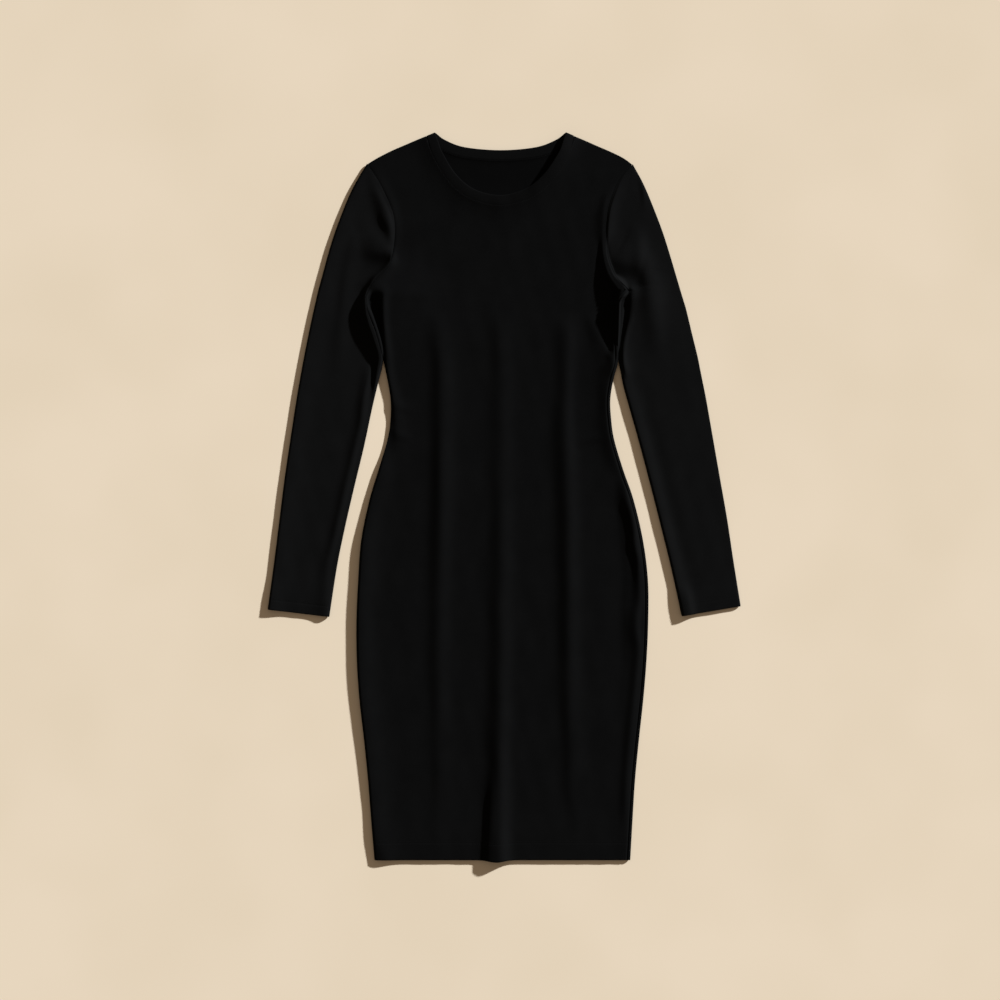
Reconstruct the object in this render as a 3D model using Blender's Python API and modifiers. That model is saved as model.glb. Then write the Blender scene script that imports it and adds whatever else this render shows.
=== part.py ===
"""Long-sleeved bodycon dress lying flat: front, back, two sleeves and a neckband of heavy double knit.

Metres. X runs across the dress, +Y towards the neck, +Z up from the surface it lies on. The tables give
"up" as the distance from the hem; the frame's origin is the middle of the dress, on that surface.
"""
import bmesh
import bpy
import numpy as np

# Driving dimensions
LENGTH = 1.018  # hem to the top of the shoulder seam
WALL = 0.0012  # one ply of double knit
BAND_WALL = 0.0016  # the neckband, folded and pressed
BAND_WIDTH = 0.013
SEAM_GAP = 0.0005  # between the front's turned-down edge and the back that it is sewn to
BAND_GAP = 0.0005  # between the neckband and the panels it is sewn to
BAND_CORNER_GAP = 0.0012  # extra room where the band turns over the shoulder
BAND_TURN_SHARE = 0.10  # of the neck edge, over which the band's seam swings round to the shoulder line
ARMHOLE_GAP = 0.0007  # measured straight across the dress
FOLD_HEIGHT = 0.0020  # where a sleeve's or the neckband's two plies turn into each other
FRONT_HEIGHT = 0.0027  # middle of the upper ply where it lies flat on the lower one
UPPER_ROLL = 0.0040  # how far in from an edge the upper ply rounds over
LOWER_ROLL = 0.0015  # the same for the lower ply of a sleeve or the neckband
SEAM_RIDGE = 0.0032  # lift of the upper ply over the seam allowances
SEAM_RIDGE_IN = 0.0080  # from the edge to the top of that lift
SEAM_RIDGE_SPREAD = 0.0065
UNDERARM_PUFF = 0.0050  # the upper ply is bunched where four seams meet
UNDERARM_REACH = 0.030
CORNER_GAP = 0.0012  # extra room between body and sleeve where their rounded edges lie side by side
CORNER_REACH = 0.012
NECK_LIFT = 0.0062  # the front neck edge stands clear of the back
NECK_REACH = 0.045
CUFF_LIFT = 0.0052  # open mouth of each sleeve
CUFF_REACH = 0.045
KNIT_BLACK = (0.0045, 0.0045, 0.0050, 1.0)

# Side seams: up from the hem, left edge, right edge
SIDES = (
    (0.000, -0.1810, 0.1742),  # hem
    (0.056, -0.1855, 0.1785),
    (0.112, -0.1897, 0.1813),
    (0.168, -0.1953, 0.1869),
    (0.224, -0.2023, 0.1939),
    (0.280, -0.2051, 0.1981),
    (0.336, -0.2065, 0.2009),  # hip
    (0.392, -0.2037, 0.1995),
    (0.448, -0.1995, 0.1925),
    (0.504, -0.1883, 0.1799),
    (0.546, -0.1757, 0.1659),
    (0.588, -0.1631, 0.1533),
    (0.616, -0.1589, 0.1491),
    (0.644, -0.1587, 0.1477),  # waist
    (0.672, -0.1631, 0.1519),
    (0.700, -0.1687, 0.1575),
    (0.742, -0.1785, 0.1617),
    (0.7855, -0.1925, 0.1675),  # underarm
)

# Armhole seams, underarm to shoulder tip: left x, left up, right x, right up
ARMHOLES = (
    (-0.1925, 0.7855, 0.1687, 0.7955),
    (-0.1761, 0.8037, 0.1600, 0.8107),
    (-0.1609, 0.8289, 0.1487, 0.8331),
    (-0.1541, 0.8550, 0.1439, 0.8541),
    (-0.1533, 0.8800, 0.1431, 0.8780),
    (-0.1541, 0.8995, 0.1439, 0.9000),
    (-0.1582, 0.9157, 0.1471, 0.9177),
    (-0.1729, 0.9465, 0.1585, 0.9480),
    (-0.1911, 0.9738, 0.1785, 0.9731),
)

# Shoulder seams, tip to neck point: left x, left up, right x, right up
SHOULDERS = (
    (-0.1911, 0.9738, 0.1785, 0.9731),
    (-0.1477, 0.9969, 0.1351, 0.9969),
    (-0.0973, 1.0176, 0.0861, 1.0176),
)

# Neck edges between the two neck points: x, up
FRONT_NECK = (
    (-0.0973, 1.0176),
    (-0.0932, 1.0060),
    (-0.0865, 0.9890),
    (-0.0679, 0.9591),
    (-0.0420, 0.9380),
    (-0.0050, 0.9297),
    (0.0315, 0.9395),
    (0.0567, 0.9605),
    (0.0760, 0.9890),
    (0.0825, 1.0060),
    (0.0861, 1.0176),
)
BACK_NECK = (
    (-0.0973, 1.0176),
    (-0.0830, 1.0070),
    (-0.0553, 0.9969),
    (-0.0050, 0.9927),
    (0.0440, 0.9969),
    (0.0718, 1.0070),
    (0.0861, 1.0176),
)

# The three long folds of the front: up, then crest x and height of the left, middle and right fold
LONG_FOLDS = (
    (0.000, -0.0900, 0.0012, -0.0080, 0.0095, 0.1080, 0.0004),
    (0.084, -0.0903, 0.0020, -0.0147, 0.0075, 0.1070, 0.0008),
    (0.224, -0.0903, 0.0036, -0.0147, 0.0052, 0.1010, 0.0024),
    (0.364, -0.0903, 0.0044, -0.0119, 0.0036, 0.0960, 0.0038),
    (0.504, -0.0903, 0.0044, -0.0077, 0.0026, 0.0920, 0.0040),
    (0.644, -0.0903, 0.0036, -0.0080, 0.0018, 0.0903, 0.0030),
    (0.740, -0.0910, 0.0014, -0.0090, 0.0008, 0.0905, 0.0010),
    (0.860, -0.0980, 0.0000, -0.0070, 0.0000, 0.0940, 0.0000),
)
FOLD_SPREAD = 0.014

# Sleeve sections, cuff to underarm: outer fold x, up, underarm seam x, up
LEFT_SLEEVE = (
    (-0.3304, 0.3515, -0.2450, 0.3417),  # cuff
    (-0.3213, 0.4201, -0.2345, 0.4110),
    (-0.3143, 0.4761, -0.2240, 0.4670),
    (-0.3073, 0.5321, -0.2115, 0.5230),
    (-0.2989, 0.5881, -0.1975, 0.5790),  # elbow
    (-0.2905, 0.6441, -0.1850, 0.6340),
    (-0.2845, 0.6791, -0.1765, 0.6690),
    (-0.2779, 0.7141, -0.1726, 0.7040),
    (-0.2723, 0.7421, -0.1812, 0.7340),
    (-0.2662, 0.7701, -0.1893, 0.7620),
    (-0.2597, 0.7981, -0.1945, 0.7855),  # underarm
)
RIGHT_SLEEVE = (
    (0.3311, 0.3557, 0.2485, 0.3431),  # cuff
    (0.3199, 0.4201, 0.2340, 0.4080),
    (0.3115, 0.4761, 0.2202, 0.4640),
    (0.3017, 0.5321, 0.2060, 0.5200),
    (0.2919, 0.5881, 0.1910, 0.5770),  # elbow
    (0.2821, 0.6441, 0.1753, 0.6330),
    (0.2765, 0.6721, 0.1672, 0.6620),
    (0.2709, 0.7001, 0.1622, 0.6930),
    (0.2625, 0.7351, 0.1645, 0.7280),
    (0.2541, 0.7701, 0.1671, 0.7640),
    (0.2457, 0.7981, 0.1707, 0.7955),  # underarm
)

# Outer fold of each sleeve's cap, underarm level to shoulder tip: left x, left up, right x, right up
CAPS = (
    (-0.2597, 0.7981, 0.2457, 0.7981),
    (-0.2401, 0.8681, 0.2247, 0.8681),
    (-0.2191, 0.9241, 0.2093, 0.9101),
    (-0.2051, 0.9521, 0.1939, 0.9465),
    (-0.1931, 0.9742, 0.1805, 0.9735),
)

# Broad folds of the sleeves: x and up of two ends, spread, height
SLEEVE_FOLDS = (
    (-0.1995, 0.8740, -0.2260, 0.7250, 0.010, 0.0026),
    (0.1930, 0.8750, 0.2060, 0.7420, 0.011, 0.0034),
)

# Where rows and columns of each wall lie, as shares of the span they divide
FRONT_EDGE_SHARES = (0.0, 0.0014, 0.0072, 0.020, 0.040, 0.085, 0.17, 0.42, 0.84, 1.0)
FRONT_FOLD_SHARES = (0.0, 0.16, 0.34, 0.50, 0.66, 0.84, 1.0)
BACK_EDGE_SHARES = (0.0, 0.50, 1.0)
BACK_FOLD_SHARES = (0.0, 0.16, 0.34, 0.66, 1.0)
BODY_SHARES = (0.0, 0.012, 0.030, 0.08, 0.15, 0.22, 0.30, 0.38, 0.45, 0.52, 0.58, 0.64, 0.69, 0.735,
               0.775, 0.815, 0.86, 0.91, 0.955, 1.0)
ARMHOLE_SHARES = (0.04, 0.10, 0.19, 0.30, 0.43, 0.57, 0.71, 0.83, 0.92, 0.975, 0.992, 0.9993, 1.0)
CAP_ROWS = 10  # armhole rows that the sleeve's cap follows below its tip
SLEEVE_SHARES = (0.0, 0.006, 0.022, 0.045, 0.12, 0.30, 0.50, 0.70, 0.88, 0.955, 0.978, 0.994, 1.0)
SLEEVE_UNDER_SHARES = (0.0, 0.006, 0.018, 0.50, 0.982, 0.994, 1.0)
NECK_CORNER_SHARES = (0.0, 0.004, 0.014, 0.035)
BAND_CORNER_SHARE = 0.075
BAND_SHARES = (0.0, 0.33, 0.67, 1.0)


def smooth_rows(rows, steps=16):
    """Catmull-Rom curve through a table's rows."""
    table = np.array(rows, float)
    table = np.vstack([2 * table[0] - table[1], table, 2 * table[-1] - table[-2]])
    t = np.linspace(0, 1, steps, endpoint=False)[:, None]
    stretches = []
    for a, b, c, d in zip(table, table[1:], table[2:], table[3:]):
        curve = 2 * a - 5 * b + 4 * c - d + t * (3 * b - a - 3 * c + d)
        stretches.append(b + 0.5 * t * (c - a + t * curve))
    stretches.append(table[-2:-1])
    return np.vstack(stretches)


def at_share(path, shares):
    """Points of a path at shares of its length."""
    steps = np.linalg.norm(np.diff(path[:, :2], axis=0), axis=1)
    travelled = np.concatenate([[0], np.cumsum(steps)]) / steps.sum()
    return np.column_stack([np.interp(shares, travelled, column) for column in path.T])


def at_up(rows, up):
    """A table's columns at a height above the hem; the first column is that height."""
    path = smooth_rows(rows)
    return np.column_stack([np.interp(up, path[:, 0], column) for column in path.T[1:]])


def distance(path, points):
    """Distance of each point from a polyline."""
    starts = path[:-1, :2]
    runs = path[1:, :2] - starts
    offsets = points[..., None, :] - starts
    shares = np.clip((offsets * runs).sum(-1) / np.maximum((runs ** 2).sum(-1), 1e-12), 0, 1)
    return np.linalg.norm(offsets - shares[..., None] * runs, axis=-1).min(-1)


def bell(gap, spread):
    return np.exp(-(gap / spread) ** 2)


def rounding(gap, reach):
    """0 on a folded or sewn edge, 1 where the ply is clear of it, along a quarter of an ellipse."""
    return np.sqrt(np.clip(1 - (1 - np.clip(gap / reach, 0, 1)) ** 2, 0, 1))


ARMHOLE_LEFT = smooth_rows([row[:2] for row in ARMHOLES])
ARMHOLE_RIGHT = smooth_rows([row[2:] for row in ARMHOLES])
SHOULDER_LEFT = smooth_rows([row[:2] for row in SHOULDERS])
SHOULDER_RIGHT = smooth_rows([row[2:] for row in SHOULDERS])
SIDE_LEFT = smooth_rows([(row[1], row[0]) for row in SIDES])
SIDE_RIGHT = smooth_rows([(row[2], row[0]) for row in SIDES[:-1]] + [ARMHOLES[0][2:]])
NECK_FRONT = smooth_rows(FRONT_NECK)
NECK_BACK = smooth_rows(BACK_NECK)
UNDERARMS = np.array([ARMHOLES[0][:2], ARMHOLES[0][2:]])
CUFFS = [np.array([row[:2], row[2:]]) for row in (LEFT_SLEEVE[0], RIGHT_SLEEVE[0])]
CAP_LEFT = smooth_rows([row[:2] for row in CAPS])
CAP_RIGHT = smooth_rows([row[2:] for row in CAPS])


def upper_height(points):
    """Middle of the upper ply away from its edges, with its folds, open neck and cuffs, and full underarms."""
    folds = at_up(LONG_FOLDS, points[..., 1].ravel()).reshape(points.shape[:-1] + (6,))
    height = np.full(points.shape[:-1], FRONT_HEIGHT)
    for fold in range(3):
        crest, rise = folds[..., 2 * fold], folds[..., 2 * fold + 1]
        height += rise * bell(points[..., 0] - crest, FOLD_SPREAD)
    for x0, up0, x1, up1, spread, rise in SLEEVE_FOLDS:
        height += rise * bell(distance(np.array([(x0, up0), (x1, up1)]), points), spread)
    height += NECK_LIFT * bell(distance(NECK_FRONT, points), NECK_REACH)
    for cuff in CUFFS:
        height += CUFF_LIFT * bell(distance(cuff, points), CUFF_REACH)
    for underarm in UNDERARMS:
        height += UNDERARM_PUFF * bell(np.linalg.norm(points - underarm, axis=-1), UNDERARM_REACH)
    return height


def plies(points, edges, joint):
    """Heights of the upper and lower ply over points; at the edges both come to the height of the joint."""
    from_edge = np.minimum.reduce([distance(edge, points) for edge in edges])
    free = upper_height(points) + SEAM_RIDGE * bell(from_edge - SEAM_RIDGE_IN, SEAM_RIDGE_SPREAD)
    upper = joint + (free - joint) * rounding(from_edge, UPPER_ROLL)
    lower = joint + (WALL / 2 - joint) * rounding(from_edge, LOWER_ROLL)
    return upper, lower


def unit(vectors):
    return vectors / np.linalg.norm(vectors, axis=-1)[..., None]


def neck_seam(edge, shares):
    """The neckband's outer seam: the neck edge moved out by the band's width, ending on the shoulders."""
    step = NECK_CORNER_SHARES[1]
    ahead, behind = np.minimum(shares + step, 1), np.maximum(shares - step, 0)
    along_edge = at_share(edge, ahead) - at_share(edge, behind)
    outward = unit(np.column_stack([along_edge[:, 1], -along_edge[:, 0]]))
    for shoulder, end in ((SHOULDER_LEFT, 0.0), (SHOULDER_RIGHT, 1.0)):
        along_shoulder = unit(at_share(shoulder, [1 - BAND_TURN_SHARE])[0] - shoulder[-1])
        pull = bell(shares - end, BAND_TURN_SHARE)[:, None]
        outward = outward * (1 - pull) + along_shoulder * pull
    return at_share(edge, shares) + unit(outward) * BAND_WIDTH


def cloth(name, places, wall, collection, tube=False):
    """A grid laid through rows of places and thickened to a wall; a tube's last column meets its first."""
    rows, columns = places.shape[0] - 1, places.shape[1] - 1
    shape = bmesh.new()
    bmesh.ops.create_grid(shape, x_segments=columns, y_segments=rows, size=0.5)
    for vertex in shape.verts:
        row = round((vertex.co.y + 0.5) * rows)
        column = round((vertex.co.x + 0.5) * columns)
        x, up, z = places[row, column]
        vertex.co = (x, up - LENGTH / 2, z)
    if tube:
        bmesh.ops.remove_doubles(shape, verts=shape.verts, dist=1e-6)
    mesh = bpy.data.meshes.new(name)
    shape.to_mesh(mesh)
    shape.free()
    mesh.shade_smooth()
    piece = bpy.data.objects.new(name, mesh)
    collection.objects.link(piece)
    piece.data.materials.append(knit(name))
    thick = piece.modifiers.new("ply", "SOLIDIFY")
    thick.thickness = wall
    thick.offset = 0.0
    return piece


def knit(name):
    """Near-black, matt double knit."""
    material = bpy.data.materials.new(name + "_knit")
    material.use_nodes = True
    shader = material.node_tree.nodes["Principled BSDF"]
    shader.inputs["Base Color"].default_value = KNIT_BLACK
    shader.inputs["Roughness"].default_value = 0.9
    shader.inputs["Metallic"].default_value = 0.0
    return material


def body_ends():
    """Left and right end of each of a panel's rows, up the side seams and then up the armholes."""
    ends = []
    for share in BODY_SHARES:
        up_left, up_right = share * UNDERARMS[:, 1]
        left = (np.interp(up_left, SIDE_LEFT[:, 1], SIDE_LEFT[:, 0]), up_left)
        right = (np.interp(up_right, SIDE_RIGHT[:, 1], SIDE_RIGHT[:, 0]), up_right)
        ends.append((left, right))
    for share in ARMHOLE_SHARES:
        ends.append((at_share(ARMHOLE_LEFT, [share])[0], at_share(ARMHOLE_RIGHT, [share])[0]))
    return ends


def body_plan(neck, edge_shares, fold_shares):
    """Plan of the front or back: rows from hem to shoulder, columns along the side seams and folds."""
    edge, fold = np.array(edge_shares), np.array(fold_shares)
    band_share = BAND_WIDTH / np.linalg.norm(np.diff(SHOULDER_LEFT, axis=0), axis=1).sum()
    shoulder_left = at_share(SHOULDER_LEFT, edge * (1 - band_share))
    shoulder_right = at_share(SHOULDER_RIGHT, edge * (1 - band_share))
    seam = neck_seam(neck, np.concatenate([fold / 2, 1 - fold[-2::-1] / 2]))
    top = np.vstack([shoulder_left[:-1], seam, shoulder_right[-2::-1]])
    rows = []
    for left, right in body_ends():
        crest = at_up(LONG_FOLDS, [(left[1] + right[1]) / 2])[0]
        x_left, fold_left, middle, fold_right, x_right = left[0], crest[0], crest[2], crest[4], right[0]
        across = np.concatenate([
            x_left + (fold_left - x_left) * edge,
            fold_left + (middle - fold_left) * fold[1:],
            fold_right + (middle - fold_right) * fold[-2::-1],
            x_right + (fold_right - x_right) * edge[-2::-1],
        ])
        tilt = (across - x_left) / (x_right - x_left)
        rows.append(np.column_stack([across, left[1] + (right[1] - left[1]) * tilt]))
    plan = np.array(rows)
    underarm_row = len(BODY_SHARES) - 1
    armhole_up = plan[-1, 0, 1] - plan[underarm_row, 0, 1]
    for row in range(underarm_row + 1, len(plan) - 1):
        share = (plan[row, 0, 1] - plan[underarm_row, 0, 1]) / armhole_up
        plan[row] += share ** 2 * (3 - 2 * share) * (top - plan[-1])
    plan[-1] = top
    return plan


def front_panel(collection):
    plan = body_plan(NECK_FRONT, FRONT_EDGE_SHARES, FRONT_FOLD_SHARES)
    edges = (SIDE_LEFT, SIDE_RIGHT, SHOULDER_LEFT, SHOULDER_RIGHT)
    upper, _ = plies(plan, edges, WALL + SEAM_GAP)
    return cloth("front_panel", np.dstack([plan, upper]), WALL, collection)


def back_panel(collection):
    plan = body_plan(NECK_BACK, BACK_EDGE_SHARES, BACK_FOLD_SHARES)
    height = np.full(plan.shape[:-1], WALL / 2)
    return cloth("back_panel", np.dstack([plan, height]), WALL, collection)


def sleeve(name, sections, cap, armhole, outward, collection):
    """A tube lying flat below the underarm, and above it a cap open along the armhole seam."""
    tube = np.array(sections)
    shares = ARMHOLE_SHARES[:CAP_ROWS] + ARMHOLE_SHARES[-1:]
    seam = at_share(armhole, shares)
    ends = np.minimum.reduce([np.linalg.norm(seam - armhole[end], axis=1) for end in (0, -1)])
    seam[:, 0] += outward * (ARMHOLE_GAP + CORNER_GAP * bell(ends, CORNER_REACH))
    outer = np.vstack([tube[:, :2], at_share(cap, shares)])
    inner = np.vstack([tube[:, 2:], seam])
    inner[-1] = outer[-1]
    edges = (smooth_rows(outer), smooth_rows(tube[:, 2:]))
    over_shares = np.array(SLEEVE_SHARES)[:, None]
    under_shares = np.array(SLEEVE_UNDER_SHARES)[:, None]
    over_plan = inner[:, None] + (outer - inner)[:, None] * over_shares
    under_plan = inner[:, None] + (outer - inner)[:, None] * under_shares
    over, _ = plies(over_plan, edges, FOLD_HEIGHT)
    _, under = plies(under_plan, edges, FOLD_HEIGHT)
    top = np.dstack([over_plan, over])
    bottom = np.dstack([under_plan, under])[:, ::-1]
    return cloth(name, np.hstack([top, bottom[:, 1:]]), WALL, collection, tube=True)


def neckband(collection):
    """One strip round the neck, turned over each shoulder from the front to the back."""
    across = np.array(BAND_SHARES)[None, :, None]
    halves = []
    for edge, fold_shares in ((NECK_FRONT, FRONT_FOLD_SHARES), (NECK_BACK, BACK_FOLD_SHARES)):
        half = np.concatenate([NECK_CORNER_SHARES, np.array(fold_shares)[1:] / 2])
        shares = np.concatenate([half, 1 - half[-2::-1]])
        inner = at_share(edge, shares)
        outer = neck_seam(edge, shares)
        from_corner = np.minimum(shares, 1 - shares)
        gap = BAND_GAP + BAND_CORNER_GAP * bell(from_corner, BAND_CORNER_SHARE)
        outer += (inner - outer) / BAND_WIDTH * gap[:, None]
        plan = inner[:, None] + (outer - inner)[:, None] * across
        upper, lower = plies(plan, (SHOULDER_LEFT, SHOULDER_RIGHT), FOLD_HEIGHT)
        height = upper if edge is NECK_FRONT else lower + (BAND_WALL - WALL) / 2
        halves.append(np.dstack([plan, height]))
    front, back = halves
    back[0], back[-1] = front[0], front[-1]
    ring = np.vstack([front, back[::-1][1:]])
    return cloth("neckband", ring.transpose(1, 0, 2), BAND_WALL, collection, tube=True)


for thing in list(bpy.data.objects):
    bpy.data.objects.remove(thing, do_unlink=True)
dress = bpy.data.collections.new("bodycon_dress")
bpy.context.scene.collection.children.link(dress)
front_panel(dress)
back_panel(dress)
sleeve("sleeve_left", LEFT_SLEEVE, CAP_LEFT, ARMHOLE_LEFT, -1, dress)
sleeve("sleeve_right", RIGHT_SLEEVE, CAP_RIGHT, ARMHOLE_RIGHT, 1, dress)
neckband(dress)
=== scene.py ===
import math

import bmesh
import bpy
import numpy as np
from mathutils import Matrix, Vector


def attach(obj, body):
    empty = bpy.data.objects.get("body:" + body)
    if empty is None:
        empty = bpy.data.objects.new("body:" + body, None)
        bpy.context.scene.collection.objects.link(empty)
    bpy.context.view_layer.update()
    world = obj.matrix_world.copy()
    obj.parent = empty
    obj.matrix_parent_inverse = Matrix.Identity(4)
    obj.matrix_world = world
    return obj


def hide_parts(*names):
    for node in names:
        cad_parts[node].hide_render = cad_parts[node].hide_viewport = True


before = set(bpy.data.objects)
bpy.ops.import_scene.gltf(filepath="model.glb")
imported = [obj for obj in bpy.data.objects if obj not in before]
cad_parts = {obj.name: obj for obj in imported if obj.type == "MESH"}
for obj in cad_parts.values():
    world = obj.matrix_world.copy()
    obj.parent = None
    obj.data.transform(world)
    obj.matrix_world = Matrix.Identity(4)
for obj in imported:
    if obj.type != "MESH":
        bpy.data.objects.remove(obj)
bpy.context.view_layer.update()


# The camera looks straight down on the middle of the dress. It is far enough away that the folds
# hardly lean outwards, and 1.4 m of the surface fits across the view.
CAMERA_AT = (-0.0061, -0.0049, 3.0)
VIEW_ACROSS = 1.4
SENSOR_MM = 36.0

camera_data = bpy.data.cameras.new("camera")
camera_data.sensor_width = SENSOR_MM
camera_data.lens = SENSOR_MM * CAMERA_AT[2] / VIEW_ACROSS
camera = bpy.data.objects.new("camera", camera_data)
camera.location = CAMERA_AT
bpy.context.collection.objects.link(camera)
bpy.context.scene.camera = camera


# The surface that the dress lies on: a plain board painted warm off-white, rolled on, so it is matt
# and has a faint, broad unevenness. It is far wider than the view.
BOARD_HALF = 4.0
BOARD_Z = -0.0003
BOARD_WHITE = "#E7D6BE"
BOARD_SHADE = "#E3D2B9"
BOARD_PATCH = 0.25


def linear(colour):
    """An sRGB hex colour as the linear RGBA that a socket takes."""
    parts = [int(colour[i:i + 2], 16) / 255 for i in (1, 3, 5)]
    return [p / 12.92 if p <= 0.04045 else ((p + 0.055) / 1.055) ** 2.4 for p in parts] + [1.0]


def add_node(tree, kind, inputs, **settings):
    """A node with its settings, and its inputs by name or number: a value, or a socket to link."""
    made = tree.nodes.new(kind)
    for name, value in settings.items():
        setattr(made, name, value)
    for name, value in inputs.items():
        if isinstance(value, bpy.types.NodeSocket):
            tree.links.new(value, made.inputs[name])
        else:
            made.inputs[name].default_value = value
    return made


# Rolled emulsion paint: matt, nearly even in colour, with patches of a slightly deeper tone.
paint = bpy.data.materials.new("warm_white_emulsion")
paint.use_nodes = True
tree = paint.node_tree
where = add_node(tree, "ShaderNodeTexCoord", {})
patches = add_node(tree, "ShaderNodeTexNoise", {
    "Vector": where.outputs["Object"], "Scale": 1 / BOARD_PATCH, "Detail": 2.0, "Roughness": 0.5})
tones = add_node(tree, "ShaderNodeValToRGB", {"Fac": patches.outputs["Fac"]})
tones.color_ramp.elements[0].position = 0.35
tones.color_ramp.elements[0].color = linear(BOARD_SHADE)
tones.color_ramp.elements[1].position = 0.65
tones.color_ramp.elements[1].color = linear(BOARD_WHITE)
shader = tree.nodes["Principled BSDF"]
tree.links.new(tones.outputs["Color"], shader.inputs["Base Color"])
shader.inputs["Roughness"].default_value = 0.95
shader.inputs["Specular IOR Level"].default_value = 0.05


def make_object(name, shape, finish):
    """A finished bmesh as a smooth object of one material."""
    mesh = bpy.data.meshes.new(name)
    shape.to_mesh(mesh)
    shape.free()
    mesh.shade_smooth()
    mesh.materials.append(finish)
    made = bpy.data.objects.new(name, mesh)
    bpy.context.collection.objects.link(made)
    return made


shape = bmesh.new()
bmesh.ops.create_grid(shape, x_segments=1, y_segments=1, size=BOARD_HALF)
bmesh.ops.translate(shape, verts=shape.verts, vec=(0, 0, BOARD_Z))
board = make_object("board", shape, paint)


# The light: one low studio lamp from the upper right, which draws every fold, and a weak warm fill
# from all round. Together they light the bare board to nearly its own colour.
LAMP_AZIMUTH = math.radians(38)
LAMP_ELEVATION = math.radians(19.5)
LAMP_ANGLE = math.radians(2.5)
LAMP_SHARE = (0.780, 0.820, 0.860)
FILL_SHARE = (0.220, 0.180, 0.140)

lamp_data = bpy.data.lights.new("lamp", "SUN")
lamp_data.angle = LAMP_ANGLE
lamp_data.color = LAMP_SHARE
lamp_data.energy = math.pi / math.sin(LAMP_ELEVATION)
lamp = bpy.data.objects.new("lamp", lamp_data)
level = math.cos(LAMP_ELEVATION)
to_lamp = Vector((level * math.cos(LAMP_AZIMUTH), level * math.sin(LAMP_AZIMUTH),
                  math.sin(LAMP_ELEVATION)))
lamp.rotation_euler = to_lamp.to_track_quat("Z", "Y").to_euler()
bpy.context.collection.objects.link(lamp)

room = bpy.data.worlds.new("room")
room.use_nodes = True
room.node_tree.nodes["Background"].inputs["Color"].default_value = (*FILL_SHARE, 1.0)
room.node_tree.nodes["Background"].inputs["Strength"].default_value = 1.0
bpy.context.scene.world = room
bpy.context.scene.view_settings.view_transform = "Standard"


# The back: one panel of heavy double knit, cut on the fold, lying flat on the surface. Its sides and
# shoulders turn up to the seams, and its hem is turned up inside and coverstitched.
LENGTH = 1.018  # hem to the top of the shoulder seam
WALL = 0.0009  # one ply of double knit
FLOOR_PLY = 0.0005  # middle of the ply that lies on the surface
SEAM_HEIGHT = 0.0022  # where front and back meet at a sewn edge, with their allowances inside
SEAM_GAP = 0.0003
LOWER_ROLL = 0.0020  # how far in from an edge the lower ply turns up
UPPER_ROLL = 0.0034
HEM_DEPTH = 0.027  # the hem's turned-up ply
TURN_RADIUS = 0.0005  # of the folded edge, between its two plies
TURN_STEPS = 6
BAND_WIDTH = 0.013
BAND_TURN_SHARE = 0.10
NECK_STEP = 0.004  # share of the neck edge over which its direction is taken
STEPS_SHARE = 0.42  # the most of a row's width that the fixed steps at one end take up
BELL_END = 2.6  # spreads after which a crease has died away
DIP_AT, DIP, DIP_SPREAD, DIP_REACH = -0.0119, 0.0022, 0.0130, 0.050  # the hem sags at its middle fold

# Side seams: up from the hem, left edge, right edge
SIDES = (
    (0, -0.1812, 0.1757),  # hem
    (0.056, -0.1859, 0.1789),
    (0.112, -0.1903, 0.1824),
    (0.168, -0.1959, 0.1878),
    (0.224, -0.2023, 0.1939),
    (0.28, -0.206, 0.1985),
    (0.336, -0.2065, 0.2009),  # hip
    (0.392, -0.2041, 0.2005),
    (0.448, -0.1999, 0.1935),
    (0.504, -0.1883, 0.1804),
    (0.546, -0.1757, 0.1659),
    (0.588, -0.1631, 0.1533),
    (0.616, -0.1589, 0.1491),
    (0.644, -0.1587, 0.1477),  # waist
    (0.672, -0.1631, 0.1519),
    (0.7, -0.1691, 0.1588),
    (0.742, -0.1802, 0.1571),
    (0.766, -0.1897, 0.1579),
    (0.7813, -0.1923, 0.1594),
    (0.7883, -0.1932, 0.166),  # underarm
)
# Armhole seams, underarm to shoulder tip: left x, left up, right x, right up
ARMHOLES = (
    (-0.1932, 0.7883, 0.174, 0.7972),
    (-0.188, 0.8009, 0.1666, 0.8033),
    (-0.1807, 0.8121, 0.1592, 0.8112),
    (-0.1693, 0.8233, 0.1533, 0.8215),
    (-0.1602, 0.8338, 0.1482, 0.8331),
    (-0.1566, 0.845, 0.1448, 0.8455),
    (-0.1545, 0.859, 0.1436, 0.861),
    (-0.1531, 0.88, 0.1431, 0.878),
    (-0.1545, 0.8995, 0.1439, 0.9),
    (-0.1595, 0.9157, 0.1471, 0.9177),
    (-0.1739, 0.9465, 0.1585, 0.948),
    (-0.1911, 0.9738, 0.1785, 0.9731),
)
# Shoulder seams, tip to neck point: left x, left up, right x, right up
SHOULDERS = (
    (-0.1911, 0.9738, 0.1785, 0.9731),
    (-0.1762, 0.9829, 0.165, 0.9829),
    (-0.1477, 0.9969, 0.1351, 0.9969),
    (-0.0973, 1.0176, 0.0861, 1.0176),
)
# The back's neck edge, between the two neck points: x, up
BACK_NECK = (
    (-0.0973, 1.0176),
    (-0.083, 1.007),
    (-0.0553, 0.9969),
    (-0.005, 0.9927),
    (0.044, 0.9969),
    (0.0718, 1.007),
    (0.0861, 1.0176),
)
# Crests of the front's three long folds, which the columns of cloth follow: up, left, middle, right
LONG_FOLDS = (
    (0, -0.0917, -0.0091, 0.11),
    (0.084, -0.0917, -0.014, 0.108),
    (0.224, -0.0903, -0.0135, 0.1015),
    (0.364, -0.091, -0.0105, 0.0955),
    (0.504, -0.0903, -0.0077, 0.0917),
    (0.644, -0.0917, -0.0077, 0.09),
    (0.74, -0.093, -0.0091, 0.088),
    (0.86, -0.098, -0.007, 0.094),
)
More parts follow.
